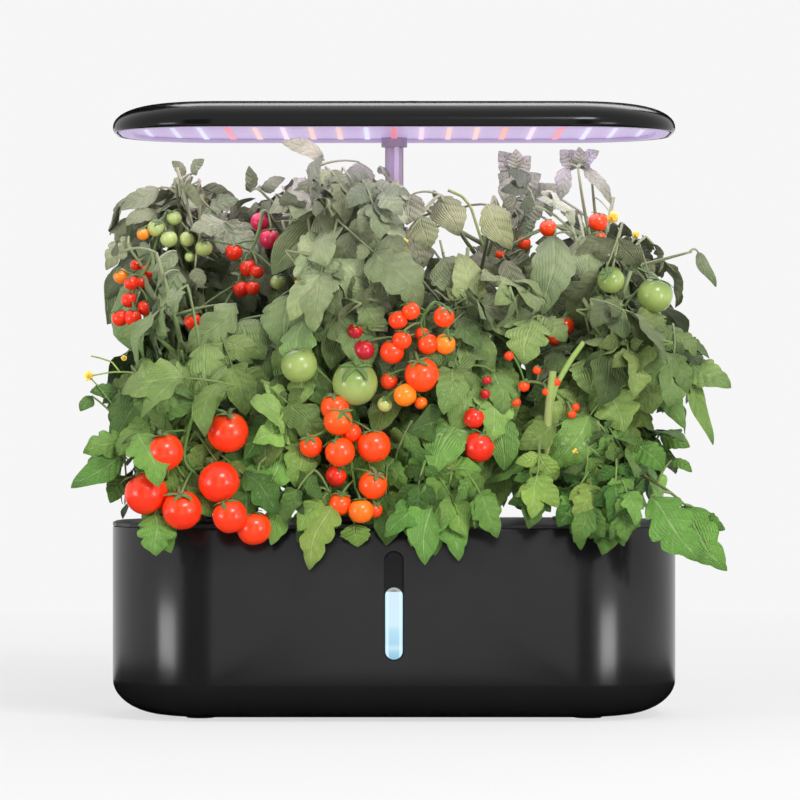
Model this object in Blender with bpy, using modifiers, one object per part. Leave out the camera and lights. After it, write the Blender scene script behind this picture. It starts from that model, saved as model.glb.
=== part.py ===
"""Countertop hydroponic garden: a water tank, a lift-off deck with eight planted pods,
and a grow lamp on a telescopic post. Lengths are in metres, +Z is up, and the origin is
on the counter, under the middle of the tank. The front, with the water gauge, faces -Y."""

import math
import random

import bmesh
import bpy
from mathutils import Matrix, Vector
from mathutils.bvhtree import BVHTree

# Outline shared by the tank, the deck and the lamp
BODY_WIDTH = 0.370
BODY_DEPTH = 0.185
CORNER_RADIUS = 0.070
CORNER_STEPS = 5

# Clearances
FIT = 0.0003
OVERRUN = 0.002
OVERLAP = 0.0005
MERGE = 0.00001
FLAT_ANGLE = 0.002

# Tank
TANK_HEIGHT = 0.1235
TANK_WALL = 0.0025
TANK_FILLET_RUN = 0.036
TANK_FILLET_RISE = 0.023
FILLET_STEPS = 4
FOOT_HEIGHT = 0.0015
FOOT_RADIUS = 0.009
FOOT_INSET = 0.058

# Water gauge, let into the front wall of the tank
GAUGE_WIDTH = 0.0128
GAUGE_HEIGHT_SHARE = 0.5717
GAUGE_RISE_SHARE = 0.3280
GAUGE_PROUD = 0.0004
GAUGE_FLANGE = 0.0020
GAUGE_FLANGE_THICKNESS = 0.0014
WINDOW_MARGIN = 0.0011
WINDOW_HEIGHT_SHARE = 0.6374
WELL_WALL = 0.0013
WELL_BORE = 0.0102
FLOAT_RADIUS = 0.0046
FLOAT_HEIGHT = 0.0080
STADIUM_STEPS = 3

# Deck
DECK_THICKNESS = 0.0022
SKIRT_CLEARANCE = 0.0008
SKIRT_THICKNESS = 0.0020
SKIRT_DEPTH = 0.008
POD_COLUMNS = 4
POD_ROWS = 2
POD_PITCH = 0.084
POD_ROW_PITCH = 0.088
POD_ROW_SHIFT = -0.002
POD_RADIUS = 0.0170

# Net basket in each pod
BASKET_DEPTH = 0.048
BASKET_WALL = 0.0013
BASKET_FLANGE = 0.0028
BASKET_LIP = 0.0016
BASKET_FOOT_RADIUS = 0.0120
BASKET_SLOT = 0.0040
BASKET_SLOT_BOTTOM = 0.006
BASKET_SLOT_TOP = 0.030
ROUND_STEPS = 12
PIN_STEPS = 6

# Filler port and its hinged cap
PORT_WIDTH = 0.024
PORT_LENGTH = 0.030
PORT_RADIUS = 0.005
PORT_STEPS = 3
PORT_PLACE = -0.048
CAP_MARGIN = 0.003
CAP_SWING_ROOM = 0.009
CAP_THICKNESS = 0.002
HINGE_SETBACK = 0.0065
HINGE_PIN_RADIUS = 0.0011
HINGE_KNUCKLE_RADIUS = 0.0026
HINGE_KNUCKLE_LENGTH = 0.016
HINGE_EAR_WIDTH = 0.0032

# Telescopic post
POST_INSET = 0.021
TUBE_WALL = 0.0008
UPPER_TUBE_RADIUS = 0.00625
TUBE_STEPS = 12
LOWER_TUBE_LENGTH = 0.130
MIDDLE_TUBE_LENGTH = 0.130
UPPER_TUBE_LENGTH = 0.140
MIDDLE_TUBE_RISE = 0.064
COLLAR_WALL = 0.0022
COLLAR_HEIGHT = 0.0095
POST_BASE_WIDTH = 0.046
POST_BASE_DEPTH = 0.034
POST_BASE_HEIGHT = 0.022
POST_BASE_RADIUS = 0.006
POST_BASE_FLOOR = 0.003
JACK_RADIUS = 0.0046
JACK_BORE = 0.0030
JACK_PIN = 0.0010
JACK_LENGTH = 0.0090
JACK_FLOOR = 0.0020
JACK_OFFSET = 0.0150

# Lamp
LAMP_GAP = 0.2560
LAMP_HEIGHT = 0.0188
LAMP_WALL = 0.0020
LAMP_FILLET_RUN = 0.045
LAMP_FILLET_POWER = 2.3
LAMP_LIP_RISE = 0.0025
LAMP_LIP_INSET = 0.0010
BEZEL_WIDTH = 0.0080
BEZEL_THICKNESS = 0.0020
BOARD_THICKNESS = 0.0016
BOARD_LAP = 0.0020
STRIP_COUNT = 15
STRIP_PITCH = 0.0182
STRIP_WIDTH = 0.0040
STRIP_LENGTH = 0.146
STRIP_HEIGHT = 0.0009
SOCKET_WALL = 0.0022
SOCKET_DEPTH = 0.0080
SOCKET_COVER = 0.0040
CONTROL_WIDTH = 0.056
CONTROL_DEPTH = 0.024
CONTROL_THICKNESS = 0.0016
STANDOFF_RADIUS = 0.0025
STANDOFF_LENGTH = 0.0050
STANDOFF_PLACE = 0.022
BUTTON_RADIUS = 0.0050
BUTTON_FLANGE = 0.0010
BUTTON_FLANGE_THICKNESS = 0.0016
BUTTON_PROUD = 0.0012
BUTTON_PITCH = 0.024
BUTTON_PLACE = -0.034

# Circulation pump, hung from the deck on its riser
PUMP_WIDTH = 0.036
PUMP_DEPTH = 0.032
PUMP_HEIGHT = 0.030
PUMP_PLACE = 0.030
PUMP_ROUNDING = 0.003
CHAMBER_RADIUS = 0.0110
CHAMBER_DEPTH = 0.0140
SHAFT_RADIUS = 0.0015
SHAFT_LENGTH = 0.0130
IMPELLER_HUB = 0.0036
IMPELLER_RADIUS = 0.0094
IMPELLER_LENGTH = 0.0100
BLADE_COUNT = 5
BLADE_THICKNESS = 0.0014
COVER_THICKNESS = 0.0022
COVER_SLOTS = 5
COVER_SLOT_WIDTH = 0.0018
COVER_SLOT_PITCH = 0.0052
COVER_SLOT_HEIGHT = 0.0180
NOZZLE_RADIUS = 0.0034
OUTLET_WIDTH = 0.0136
OUTLET_HEIGHT = 0.0034
NOZZLE_HEIGHT = 0.0080
NOZZLE_WALL = 0.0012
RISER_WALL = 0.0015
LEAD_RADIUS = 0.0016

# Tomato plants: one in each pod, front row first, each row from left to right
STEM_RADIUS = 0.0020
STEM_BENDS = 4
STEM_FOOT_RISE = 0.0009
LEAF_LENGTH = 0.064
LEAF_LENGTH_SPREAD = 0.012
LEAF_THICKNESS = 0.0007
LEAF_SPACING = 0.0010
PETIOLE_RADIUS = 0.0011
LEAVES_PER_PLANT = 9
LEAF_TRIES = 700
LEAF_SEED = 11
FOLIAGE_WIDTH = 0.429
FOLIAGE_SHIFT = 0.0015
FOLIAGE_DEPTH = 0.256
FOLIAGE_LAMP_CLEARANCE = 0.0050
FOLIAGE_DECK_CLEARANCE = 0.0060
FOLIAGE_OVERHANG = 0.0300
FRUIT_SIZE = 0.0275
SMALL_FRUIT_SIZE = 0.0200
STALK_RADIUS = 0.0009
FRUIT_STEPS = (8, 5)
PLAIN_FRUIT_STEPS = (6, 4)

# Seeded leaves: place up the stem, rise against run, and width against length, each a lowest and a highest
LEAF_PLACE_SHARES = (0.18, 1.0)
LEAF_LIFT_SHARES = (-1.1, 0.15)
LEAF_WIDTH_SHARES = (0.34, 0.44)

# Every leaf: how far it rolls to face outwards, how it arches, and how its halves fold down
LEVEL_SHARE = 0.1
FACING_SHARE = 0.9
ARCH_SHARE = 0.62
RISE_SHARE = 0.22
SHORTER_SHARE = 0.8
CROWDED_SHARE = 0.10
LEAF_FOLD_SHARE = 0.30

# Sections along a leaf: share of its length, share of its half width, share that its edges trail
LEAF_SECTION_SHARES = [(0.00, 0.0, 0.00), (0.28, 0.25, 0.00), (0.62, 1.00, 0.06)]

# Where each stem ends: shares of half the foliage's width and depth, and of the lamp's height
STEM_TOP_SHARES = [
    (-0.724, -0.448, 0.79),
    (-0.259, -0.477, 0.86),
    (0.224, -0.463, 0.80),
    (0.716, -0.434, 0.76),
    (-0.673, 0.419, 0.90),
    (-0.310, 0.304, 0.93),
    (0.310, 0.289, 0.90),
    (0.690, 0.405, 0.90),
]

# Leaves that make the outline: plant, share up its stem, then the tip as shares of half the
# foliage's width and depth and of the lamp's height, and the leaf's width share
OUTER_LEAF_SHARES = [
    (0, 0.20, -0.979, -0.434, 0.400, 0.34),
    (0, 0.60, -0.923, -0.325, 0.590, 0.30),
    (0, 0.40, -0.880, -0.578, 0.500, 0.32),
    (0, 0.16, -0.740, -0.970, 0.270, 0.26),
    (0, 0.10, -0.700, -0.900, 0.290, 0.26),
    (0, 0.95, -0.776, -0.542, 0.800, 0.36),
    (1, 0.22, -0.216, -0.983, 0.252, 0.30),
    (1, 0.35, -0.345, -0.939, 0.420, 0.36),
    (1, 0.95, -0.414, -0.795, 0.760, 0.38),
    (1, 1.00, -0.103, -0.831, 0.780, 0.38),
    (2, 0.22, 0.095, -0.983, 0.258, 0.28),
    (2, 0.16, 0.290, -0.960, 0.275, 0.26),
    (2, 0.70, 0.345, -0.867, 0.560, 0.38),
    (2, 0.95, 0.129, -0.723, 0.830, 0.36),
    (3, 0.25, 0.975, -0.708, 0.258, 0.30),
    (3, 0.45, 0.931, -0.506, 0.460, 0.26),
    (3, 0.80, 0.996, -0.361, 0.590, 0.32),
    (3, 0.22, 0.586, -0.983, 0.300, 0.28),
    (3, 0.95, 0.673, -0.723, 0.780, 0.36),
    (4, 0.90, -0.880, 0.217, 0.780, 0.34),
    (4, 1.00, -0.845, 0.614, 0.860, 0.34),
    (4, 1.00, -0.604, 0.145, 0.940, 0.32),
    (4, 0.35, -0.931, 0.650, 0.500, 0.34),
    (4, 0.22, -0.690, 0.983, 0.330, 0.34),
    (5, 1.00, -0.276, 0.036, 0.965, 0.32),
    (5, 0.95, -0.517, 0.434, 0.880, 0.34),
    (5, 0.35, -0.328, 0.983, 0.430, 0.36),
    (5, 0.95, -0.103, 0.145, 0.910, 0.32),
    (6, 1.00, 0.362, 0.108, 0.960, 0.32),
    (6, 0.35, 0.345, 0.983, 0.400, 0.36),
    (6, 0.95, 0.483, 0.506, 0.900, 0.34),
    (7, 1.00, 0.595, 0.217, 0.945, 0.32),
    (7, 0.95, 0.957, 0.289, 0.730, 0.28),
    (7, 0.90, 0.880, 0.650, 0.800, 0.32),
    (7, 0.35, 0.949, 0.614, 0.460, 0.34),
    (7, 0.22, 0.690, 0.983, 0.330, 0.34),
]

# Trusses: name, plant, share up its stem, then each fruit as shares of half the foliage's width and
# depth, of the lamp's height and of the largest fruit
TRUSS_SHARES = [
    ("truss_left_front", 0, 0.40, [
        (-0.495, -0.831, 0.482, 1.00), (-0.523, -0.867, 0.398, 1.00), (-0.489, -0.903, 0.340, 0.84),
        (-0.417, -0.846, 0.320, 0.84), (-0.633, -0.867, 0.350, 0.95), (-0.740, -0.831, 0.379, 1.05),
        (-0.687, -0.882, 0.448, 0.93),
    ]),
    ("truss_left_back", 4, 0.72, [
        (-0.731, 0.072, 0.755, 0.38), (-0.755, -0.036, 0.735, 0.42), (-0.815, -0.014, 0.745, 0.38),
        (-0.791, -0.072, 0.700, 0.42), (-0.743, -0.108, 0.691, 0.40), (-0.779, -0.145, 0.664, 0.42),
        (-0.821, -0.108, 0.668, 0.42),
    ]),
    ("truss_middle_left", 5, 0.66, [
        (-0.400, -0.036, 0.836, 0.48), (-0.370, -0.108, 0.800, 0.50), (-0.436, -0.108, 0.765, 0.44),
        (-0.478, -0.072, 0.786, 0.42), (-0.456, -0.145, 0.723, 0.44), (-0.414, -0.145, 0.727, 0.40),
    ]),
    ("truss_centre_upper", 2, 0.55, [
        (0.149, -0.809, 0.676, 0.52), (0.129, -0.846, 0.630, 0.50), (0.043, -0.809, 0.688, 0.44),
        (0.000, -0.809, 0.660, 0.48), (-0.006, -0.831, 0.612, 0.56), (0.079, -0.853, 0.578, 0.84),
        (0.033, -0.867, 0.530, 0.58),
    ]),
    ("truss_centre_lower", 1, 0.45, [
        (-0.284, -0.795, 0.600, 0.88), (-0.112, -0.809, 0.575, 1.08), (-0.170, -0.831, 0.505, 0.72),
        (-0.248, -0.831, 0.455, 0.56), (-0.161, -0.867, 0.440, 0.72), (-0.060, -0.831, 0.456, 0.80),
        (-0.063, -0.846, 0.393, 0.70), (-0.098, -0.867, 0.345, 0.62), (-0.161, -0.853, 0.365, 0.56),
        (-0.185, -0.831, 0.400, 0.50),
    ]),
    ("truss_centre_right", 2, 0.25, [(0.239, -0.809, 0.506, 0.52), (0.254, -0.824, 0.450, 0.76)]),
    ("truss_right_back", 7, 0.62, [
        (0.609, -0.108, 0.836, 0.48), (0.460, -0.108, 0.820, 0.44), (0.511, -0.361, 0.661, 0.48),
        (0.478, -0.397, 0.630, 0.40), (0.648, -0.506, 0.738, 0.66), (0.779, -0.470, 0.713, 0.86),
    ]),
]

# Places that follow from the sizes above
HALF_WIDTH = BODY_WIDTH / 2
HALF_DEPTH = BODY_DEPTH / 2
FOLIAGE_HALF_WIDTH = FOLIAGE_WIDTH / 2
FOLIAGE_HALF_DEPTH = FOLIAGE_DEPTH / 2
TANK_BOTTOM = FOOT_HEIGHT + FIT
TANK_FLOOR = TANK_BOTTOM + TANK_WALL
TANK_RIM = TANK_BOTTOM + TANK_HEIGHT
GAUGE_HEIGHT = TANK_HEIGHT * GAUGE_HEIGHT_SHARE
GAUGE_RISE = TANK_HEIGHT * GAUGE_RISE_SHARE
WINDOW_HEIGHT = GAUGE_HEIGHT * WINDOW_HEIGHT_SHARE
DECK_UNDERSIDE = TANK_RIM + FIT
DECK_TOP = DECK_UNDERSIDE + DECK_THICKNESS
LAMP_UNDERSIDE = DECK_TOP + LAMP_GAP
LAMP_TOP = LAMP_UNDERSIDE + LAMP_HEIGHT
LAMP_CEILING = LAMP_TOP - LAMP_WALL
FRONT_INNER = -HALF_DEPTH + TANK_WALL
POST_Y = HALF_DEPTH - POST_INSET
UPPER_TUBE_TOP = LAMP_UNDERSIDE + SOCKET_DEPTH
HINGE_Y = PORT_PLACE + PORT_LENGTH / 2 + HINGE_SETBACK
HINGE_HEIGHT = HINGE_KNUCKLE_RADIUS + 2 * FIT
HINGE_PIN_LENGTH = HINGE_KNUCKLE_LENGTH + 2 * (FIT + HINGE_EAR_WIDTH)
MIDDLE_TUBE_RADIUS = UPPER_TUBE_RADIUS + FIT + TUBE_WALL
LOWER_TUBE_RADIUS = MIDDLE_TUBE_RADIUS + FIT + TUBE_WALL

COLOURS = {
    "shell_black": ((0.020, 0.020, 0.022), 0.32, 0.0),
    "gloss_black": ((0.008, 0.008, 0.009), 0.12, 0.0),
    "deck_black": ((0.025, 0.025, 0.027), 0.45, 0.0),
    "basket_black": ((0.035, 0.035, 0.037), 0.55, 0.0),
    "rubber_black": ((0.020, 0.020, 0.020), 0.85, 0.0),
    "bezel_grey": ((0.36, 0.36, 0.35), 0.40, 0.0),
    "board_lilac": ((0.62, 0.50, 0.72), 0.50, 0.0),
    "circuit_green": ((0.05, 0.22, 0.10), 0.50, 0.0),
    "post_steel": ((0.66, 0.62, 0.70), 0.18, 1.0),
    "water_blue": ((0.45, 0.72, 0.92), 0.10, 0.0),
    "float_white": ((0.85, 0.85, 0.85), 0.40, 0.0),
    "foam_brown": ((0.10, 0.07, 0.05), 0.90, 0.0),
    "leaf_green": ((0.10, 0.24, 0.05), 0.55, 0.0),
    "fruit_red": ((0.75, 0.03, 0.015), 0.22, 0.0),
}


def clear_scene():
    for leftover in list(bpy.data.objects):
        bpy.data.objects.remove(leftover, do_unlink=True)


def new_collection(name, hidden=False):
    made = bpy.data.collections.new(name)
    bpy.context.scene.collection.children.link(made)
    made.hide_render = hidden
    return made


def new_material(name, colour, roughness, metallic):
    made = bpy.data.materials.new(name)
    made.use_nodes = True
    shader = made.node_tree.nodes["Principled BSDF"]
    shader.inputs["Base Color"].default_value = (*colour, 1.0)
    shader.inputs["Roughness"].default_value = roughness
    shader.inputs["Metallic"].default_value = metallic
    return made


def frame_point(name, location=(0, 0, 0), parent=None):
    """An empty that carries the pieces of one moving group, with its origin on the joint's axis."""
    made = bpy.data.objects.new(name, None)
    made.location = Vector(location) - (parent.location if parent else Vector())
    made.parent = parent
    PRODUCT.objects.link(made)
    return made


def finish(piece, colour, group):
    """Merges a piece's flat faces, gives it its colour and hangs it on its group without moving it."""
    flat = piece.modifiers.new("Flat faces", "DECIMATE")
    flat.decimate_type = "DISSOLVE"
    flat.angle_limit = FLAT_ANGLE
    piece.data.materials.clear()
    piece.data.materials.append(MATERIALS[colour])
    if group is not None:
        piece.parent = group
        bpy.context.view_layer.update()
        piece.matrix_parent_inverse = group.matrix_world.inverted()
    return piece


def as_cutter(piece):
    """Moves a helper out of the product and hides it from the render."""
    for home in list(piece.users_collection):
        home.objects.unlink(piece)
    CUTTERS.objects.link(piece)
    piece.hide_render = True
    piece.display_type = "WIRE"
    return piece


def from_bmesh(name, shape):
    bmesh.ops.recalc_face_normals(shape, faces=shape.faces)
    data = bpy.data.meshes.new(name)
    shape.to_mesh(data)
    shape.free()
    made = bpy.data.objects.new(name, data)
    PRODUCT.objects.link(made)
    return made


def smooth(piece, angle=40):
    piece.data.shade_smooth()
    piece.data.set_sharp_from_angle(angle=math.radians(angle))
    return piece


def box(name, size, centre, rounding=0.0):
    """A block from the cube primitive, its upright edges rounded if a rounding is given."""
    shape = bmesh.new()
    bmesh.ops.create_cube(shape, size=1.0)
    bmesh.ops.scale(shape, vec=size, verts=shape.verts)
    if rounding:
        upright = [e for e in shape.edges if abs(e.verts[0].co.z - e.verts[1].co.z) > size[2] / 2]
        bmesh.ops.bevel(shape, geom=upright, offset=rounding, segments=3, profile=0.5, affect="EDGES")
    bmesh.ops.translate(shape, vec=centre, verts=shape.verts)
    return from_bmesh(name, shape)


def rod(name, radius, start, length, steps=ROUND_STEPS, axis="Z", end_radius=None):
    """A cylinder or cone from the cone primitive, from its start along +X, +Y or +Z."""
    turn = {
        "Z": Matrix(),
        "Y": Matrix.Rotation(-math.pi / 2, 4, "X"),
        "X": Matrix.Rotation(math.pi / 2, 4, "Y"),
    }
    shape = bmesh.new()
    bmesh.ops.create_cone(
        shape,
        cap_ends=True,
        segments=steps,
        radius1=radius,
        radius2=radius if end_radius is None else end_radius,
        depth=length,
        matrix=Matrix.Translation(start) @ turn[axis] @ Matrix.Translation((0, 0, length / 2)),
    )
    return smooth(from_bmesh(name, shape))


def turned(name, profile, centre, steps=ROUND_STEPS):
    """A closed profile of (radius, height) points, turned about the upright axis through centre."""
    data = bpy.data.meshes.new(name)
    count = len(profile)
    loop = [(i, (i + 1) % count) for i in range(count)]
    if profile[0][0] == 0 and profile[-1][0] == 0:
        loop.pop()
    data.from_pydata([(radius, 0, height) for radius, height in profile], loop, [])
    made = bpy.data.objects.new(name, data)
    PRODUCT.objects.link(made)
    screw = made.modifiers.new("Turn", "SCREW")
    screw.steps = steps
    screw.render_steps = steps
    screw.use_merge_vertices = True
    screw.merge_threshold = MERGE
    made.location = centre
    made = meshed(made)
    return smooth(made)


def meshed(piece):
    """The piece as one plain mesh, with its modifiers applied and its loose caps welded on."""
    bpy.context.view_layer.update()
    graph = bpy.context.evaluated_depsgraph_get()
    data = bpy.data.meshes.new_from_object(piece.evaluated_get(graph))
    shape = bmesh.new()
    shape.from_mesh(data)
    shape.transform(piece.matrix_world)
    bmesh.ops.remove_doubles(shape, verts=shape.verts, dist=MERGE)
    bmesh.ops.recalc_face_normals(shape, faces=shape.faces)
    shape.to_mesh(data)
    shape.free()
    name = piece.name
    bpy.data.objects.remove(piece, do_unlink=True)
    made = bpy.data.objects.new(name, data)
    data.name = name
    PRODUCT.objects.link(made)
    return made


def ring(name, outer, inner, bottom, height, place=(0, 0), steps=TUBE_STEPS):
    """A plain tube: its profile runs down the outer side and up the inner one."""
    profile = [(outer, height), (outer, 0), (inner, 0), (inner, height)]
    return turned(name, profile, (place[0], place[1], bottom), steps)


def outline(width, depth, radius, steps=CORNER_STEPS):
    """A rounded rectangle as (x, y) points, anticlockwise from the right-hand front corner."""
    corners = [(1, -1, -90), (1, 1, 0), (-1, 1, 90), (-1, -1, 180)]
    points = []
    for side_x, side_y, start in corners:
        centre_x = side_x * (width / 2 - radius)
        centre_y = side_y * (depth / 2 - radius)
        for step in range(steps + 1):
            angle = math.radians(start + 90 * step / steps)
            points.append((centre_x + radius * math.cos(angle), centre_y + radius * math.sin(angle)))
    return points


def body_outline(inset):
    """The outline that tank, deck and lamp share, drawn in by an inset."""
    return outline(BODY_WIDTH - 2 * inset, BODY_DEPTH - 2 * inset, CORNER_RADIUS - inset)


def circle(radius, place, steps=TUBE_STEPS):
    turns = [2 * math.pi * step / steps for step in range(steps)]
    return [(place[0] + radius * math.cos(turn), place[1] + radius * math.sin(turn)) for turn in turns]


def plate(name, outlines, thickness, bottom, upright_at=None):
    """A flat curve filled between its outlines. It lies flat, or stands facing -Y at upright_at."""
    data = bpy.data.curves.new(name, "CURVE")
    data.dimensions = "2D"
    data.fill_mode = "BOTH"
    data.extrude = thickness / 2
    for points in outlines:
        spline = data.splines.new("POLY")
        spline.points.add(len(points) - 1)
        spline.use_cyclic_u = True
        for target, (x, y) in zip(spline.points, points):
            target.co = (x, y, 0, 1)
    made = bpy.data.objects.new(name, data)
    PRODUCT.objects.link(made)
    if upright_at is None:
        made.location = (0, 0, bottom + thickness / 2)
    else:
        made.rotation_euler = (math.pi / 2, 0, 0)
        made.location = (0, upright_at + thickness / 2, bottom)
    return meshed(made)


def stadium(width, height, bottom, steps=STADIUM_STEPS):
    """An upright slot with round ends, as (across, up) points."""
    points = outline(width, height, width / 2 - MERGE, steps)
    return [(x, y + bottom + height / 2) for x, y in points]


def lofted(name, rings, thickness):
    """An open shell through level rings, closed at the last one, with its wall inwards."""
    shape = bmesh.new()
    levels = [[shape.verts.new((x, y, z)) for x, y in points] for points, z in rings]
    for upper, lower in zip(levels, levels[1:]):
        for i, corner in enumerate(upper):
            after = (i + 1) % len(upper)
            shape.faces.new((corner, lower[i], lower[after], upper[after]))
    shape.faces.new(levels[-1])
    made = from_bmesh(name, shape)
    wall = made.modifiers.new("Wall", "SOLIDIFY")
    wall.thickness = thickness
    wall.offset = -1
    wall.use_even_offset = True
    return smooth(meshed(made))


def fillet(run, rise, power=2):
    """The (inset, rise) steps of a quarter superellipse from its upright end to its level one."""
    angles = [math.pi / 2 * (step + 1) / FILLET_STEPS for step in range(FILLET_STEPS)]
    return [
        (run * (1 - math.cos(angle) ** (2 / power)), rise * math.sin(angle) ** (2 / power))
        for angle in angles
    ]


def boolean(target, other, operation):
    step = target.modifiers.new(operation.title(), "BOOLEAN")
    step.operation = operation
    step.solver = "EXACT"
    step.object = other
    as_cutter(other)


def cut(target, *others):
    for other in others:
        boolean(target, other, "DIFFERENCE")
    return target


def join(target, *others):
    for other in others:
        boolean(target, other, "UNION")
    return target


def tube_through(name, points, radius, resolution=2):
    """A round lead through the points, with filled ends."""
    data = bpy.data.curves.new(name, "CURVE")
    data.dimensions = "3D"
    data.bevel_depth = radius
    data.bevel_resolution = resolution
    data.use_fill_caps = True
    spline = data.splines.new("POLY")
    spline.points.add(len(points) - 1)
    for target, point in zip(spline.points, points):
        target.co = (*point, 1)
    made = bpy.data.objects.new(name, data)
    PRODUCT.objects.link(made)
    return made


def make_tank():
    """The one-piece tank: a rounded box whose lower edge curls in, open at the top."""
    curl = fillet(TANK_FILLET_RUN, TANK_FILLET_RISE)
    rings = [(body_outline(0), TANK_RIM), (body_outline(0), TANK_BOTTOM + TANK_FILLET_RISE)]
    rings += [(body_outline(inset), TANK_BOTTOM + TANK_FILLET_RISE - fall) for inset, fall in curl]
    tank = lofted("tank", rings, TANK_WALL)
    opening = plate(
        "gauge_opening_cutter",
        [stadium(GAUGE_WIDTH, GAUGE_HEIGHT, GAUGE_RISE)],
        TANK_WALL + 2 * OVERRUN,
        0,
        upright_at=-HALF_DEPTH - OVERRUN,
    )
    cut(tank, opening)
    finish(tank, "shell_black", None)


def make_feet():
    for number, (side_x, side_y) in enumerate([(-1, -1), (1, -1), (-1, 1), (1, 1)], start=1):
        start = (side_x * (HALF_WIDTH - FOOT_INSET), side_y * (HALF_DEPTH - FOOT_INSET), 0)
        finish(rod(f"foot_{number}", FOOT_RADIUS, start, FOOT_HEIGHT), "rubber_black", None)


def make_gauge():
    """A black trim plate in the tank's front wall holds the lit window; the float rides behind it."""
    trim_width = GAUGE_WIDTH - 2 * FIT
    trim_height = GAUGE_HEIGHT - 2 * FIT
    trim_bottom = GAUGE_RISE + FIT
    face = -HALF_DEPTH - GAUGE_PROUD
    back = FRONT_INNER + FIT
    window_width = trim_width - 2 * WINDOW_MARGIN
    window_bottom = trim_bottom + WINDOW_MARGIN
    trim = plate(
        "gauge_trim",
        [stadium(trim_width, trim_height, trim_bottom)],
        back - face + OVERLAP,
        0,
        upright_at=face,
    )
    flange_width = trim_width + 2 * GAUGE_FLANGE
    flange_height = trim_height + 2 * GAUGE_FLANGE
    flange = plate(
        "gauge_flange",
        [stadium(flange_width, flange_height, trim_bottom - GAUGE_FLANGE)],
        GAUGE_FLANGE_THICKNESS,
        0,
        upright_at=back,
    )
    hole = plate(
        "window_cutter",
        [stadium(window_width + 2 * FIT, WINDOW_HEIGHT + 2 * FIT, window_bottom - FIT)],
        back - face + GAUGE_FLANGE_THICKNESS + 2 * OVERRUN,
        0,
        upright_at=face - OVERRUN,
    )
    join(trim, flange)
    cut(trim, hole)
    finish(trim, "gloss_black", None)
    window = plate(
        "gauge_window",
        [stadium(window_width, WINDOW_HEIGHT, window_bottom)],
        back - face,
        0,
        upright_at=face + GAUGE_PROUD,
    )
    finish(window, "water_blue", None)

    guide_front = back + GAUGE_FLANGE_THICKNESS + FIT
    guide_depth = WELL_BORE + WELL_WALL
    guide_width = WELL_BORE + 2 * WELL_WALL
    guide_height = WINDOW_HEIGHT
    guide = box(
        "float_guide",
        (guide_width, guide_depth, guide_height),
        (0, guide_front + guide_depth / 2, window_bottom + guide_height / 2),
    )
    bore = box(
        "guide_bore_cutter",
        (WELL_BORE, WELL_BORE + OVERRUN, guide_height - WELL_WALL + OVERRUN),
        (
            0,
            guide_front + (WELL_BORE - OVERRUN) / 2,
            window_bottom + WELL_WALL + (guide_height - WELL_WALL + OVERRUN) / 2,
        ),
    )
    inlet = box(
        "guide_inlet_cutter",
        (WELL_BORE / 2, guide_depth, WELL_BORE / 2),
        (0, guide_front + guide_depth, window_bottom + WELL_WALL + WELL_BORE / 2),
    )
    cut(guide, bore, inlet)
    finish(guide, "deck_black", None)

    float_low = window_bottom + WELL_WALL + FIT
    slide = frame_point("float_slide", (0, guide_front + WELL_BORE / 2, float_low))
    gauge_float = rod(
        "gauge_float", FLOAT_RADIUS, (0, guide_front + WELL_BORE / 2, float_low), FLOAT_HEIGHT
    )
    finish(gauge_float, "float_white", slide)


def pod_places():
    """The pod centres, front row first, each row from left to right."""
    places = []
    for row in range(POD_ROWS):
        for column in range(POD_COLUMNS):
            across = (column - (POD_COLUMNS - 1) / 2) * POD_PITCH
            places.append((across, POD_ROW_SHIFT + (row - (POD_ROWS - 1) / 2) * POD_ROW_PITCH))
    return places


def make_deck():
    """The lift-off deck, with a skirt inside the tank's rim, pod holes and a filler port."""
    port = [(x, y + PORT_PLACE) for x, y in outline(PORT_WIDTH, PORT_LENGTH, PORT_RADIUS, PORT_STEPS)]
    holes = [circle(POD_RADIUS, place, ROUND_STEPS) for place in pod_places()]
    deck = plate("deck", [body_outline(0), port, *holes], DECK_THICKNESS, DECK_UNDERSIDE)
    skirt_inset = TANK_WALL + SKIRT_CLEARANCE
    skirt = plate(
        "deck_skirt",
        [body_outline(skirt_inset), body_outline(skirt_inset + SKIRT_THICKNESS)],
        SKIRT_DEPTH + OVERLAP,
        DECK_UNDERSIDE - SKIRT_DEPTH,
    )
    ears = []
    for side in (-1, 1):
        centre = side * (HINGE_KNUCKLE_LENGTH / 2 + FIT + HINGE_EAR_WIDTH / 2)
        ear_rise = HINGE_HEIGHT + HINGE_KNUCKLE_RADIUS
        ears.append(
            box(
                f"hinge_ear_{side + 1}",
                (HINGE_EAR_WIDTH, 2 * HINGE_KNUCKLE_RADIUS, ear_rise + OVERLAP),
                (centre, HINGE_Y, DECK_TOP + (ear_rise - OVERLAP) / 2),
            )
        )
    pin_hole = rod(
        "pin_hole_cutter",
        HINGE_PIN_RADIUS + FIT,
        (-HINGE_PIN_LENGTH, HINGE_Y, DECK_TOP + HINGE_HEIGHT),
        2 * HINGE_PIN_LENGTH,
        axis="X",
    )
    join(deck, skirt, *ears)
    cut(deck, pin_hole)
    finish(deck, "deck_black", None)


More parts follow.
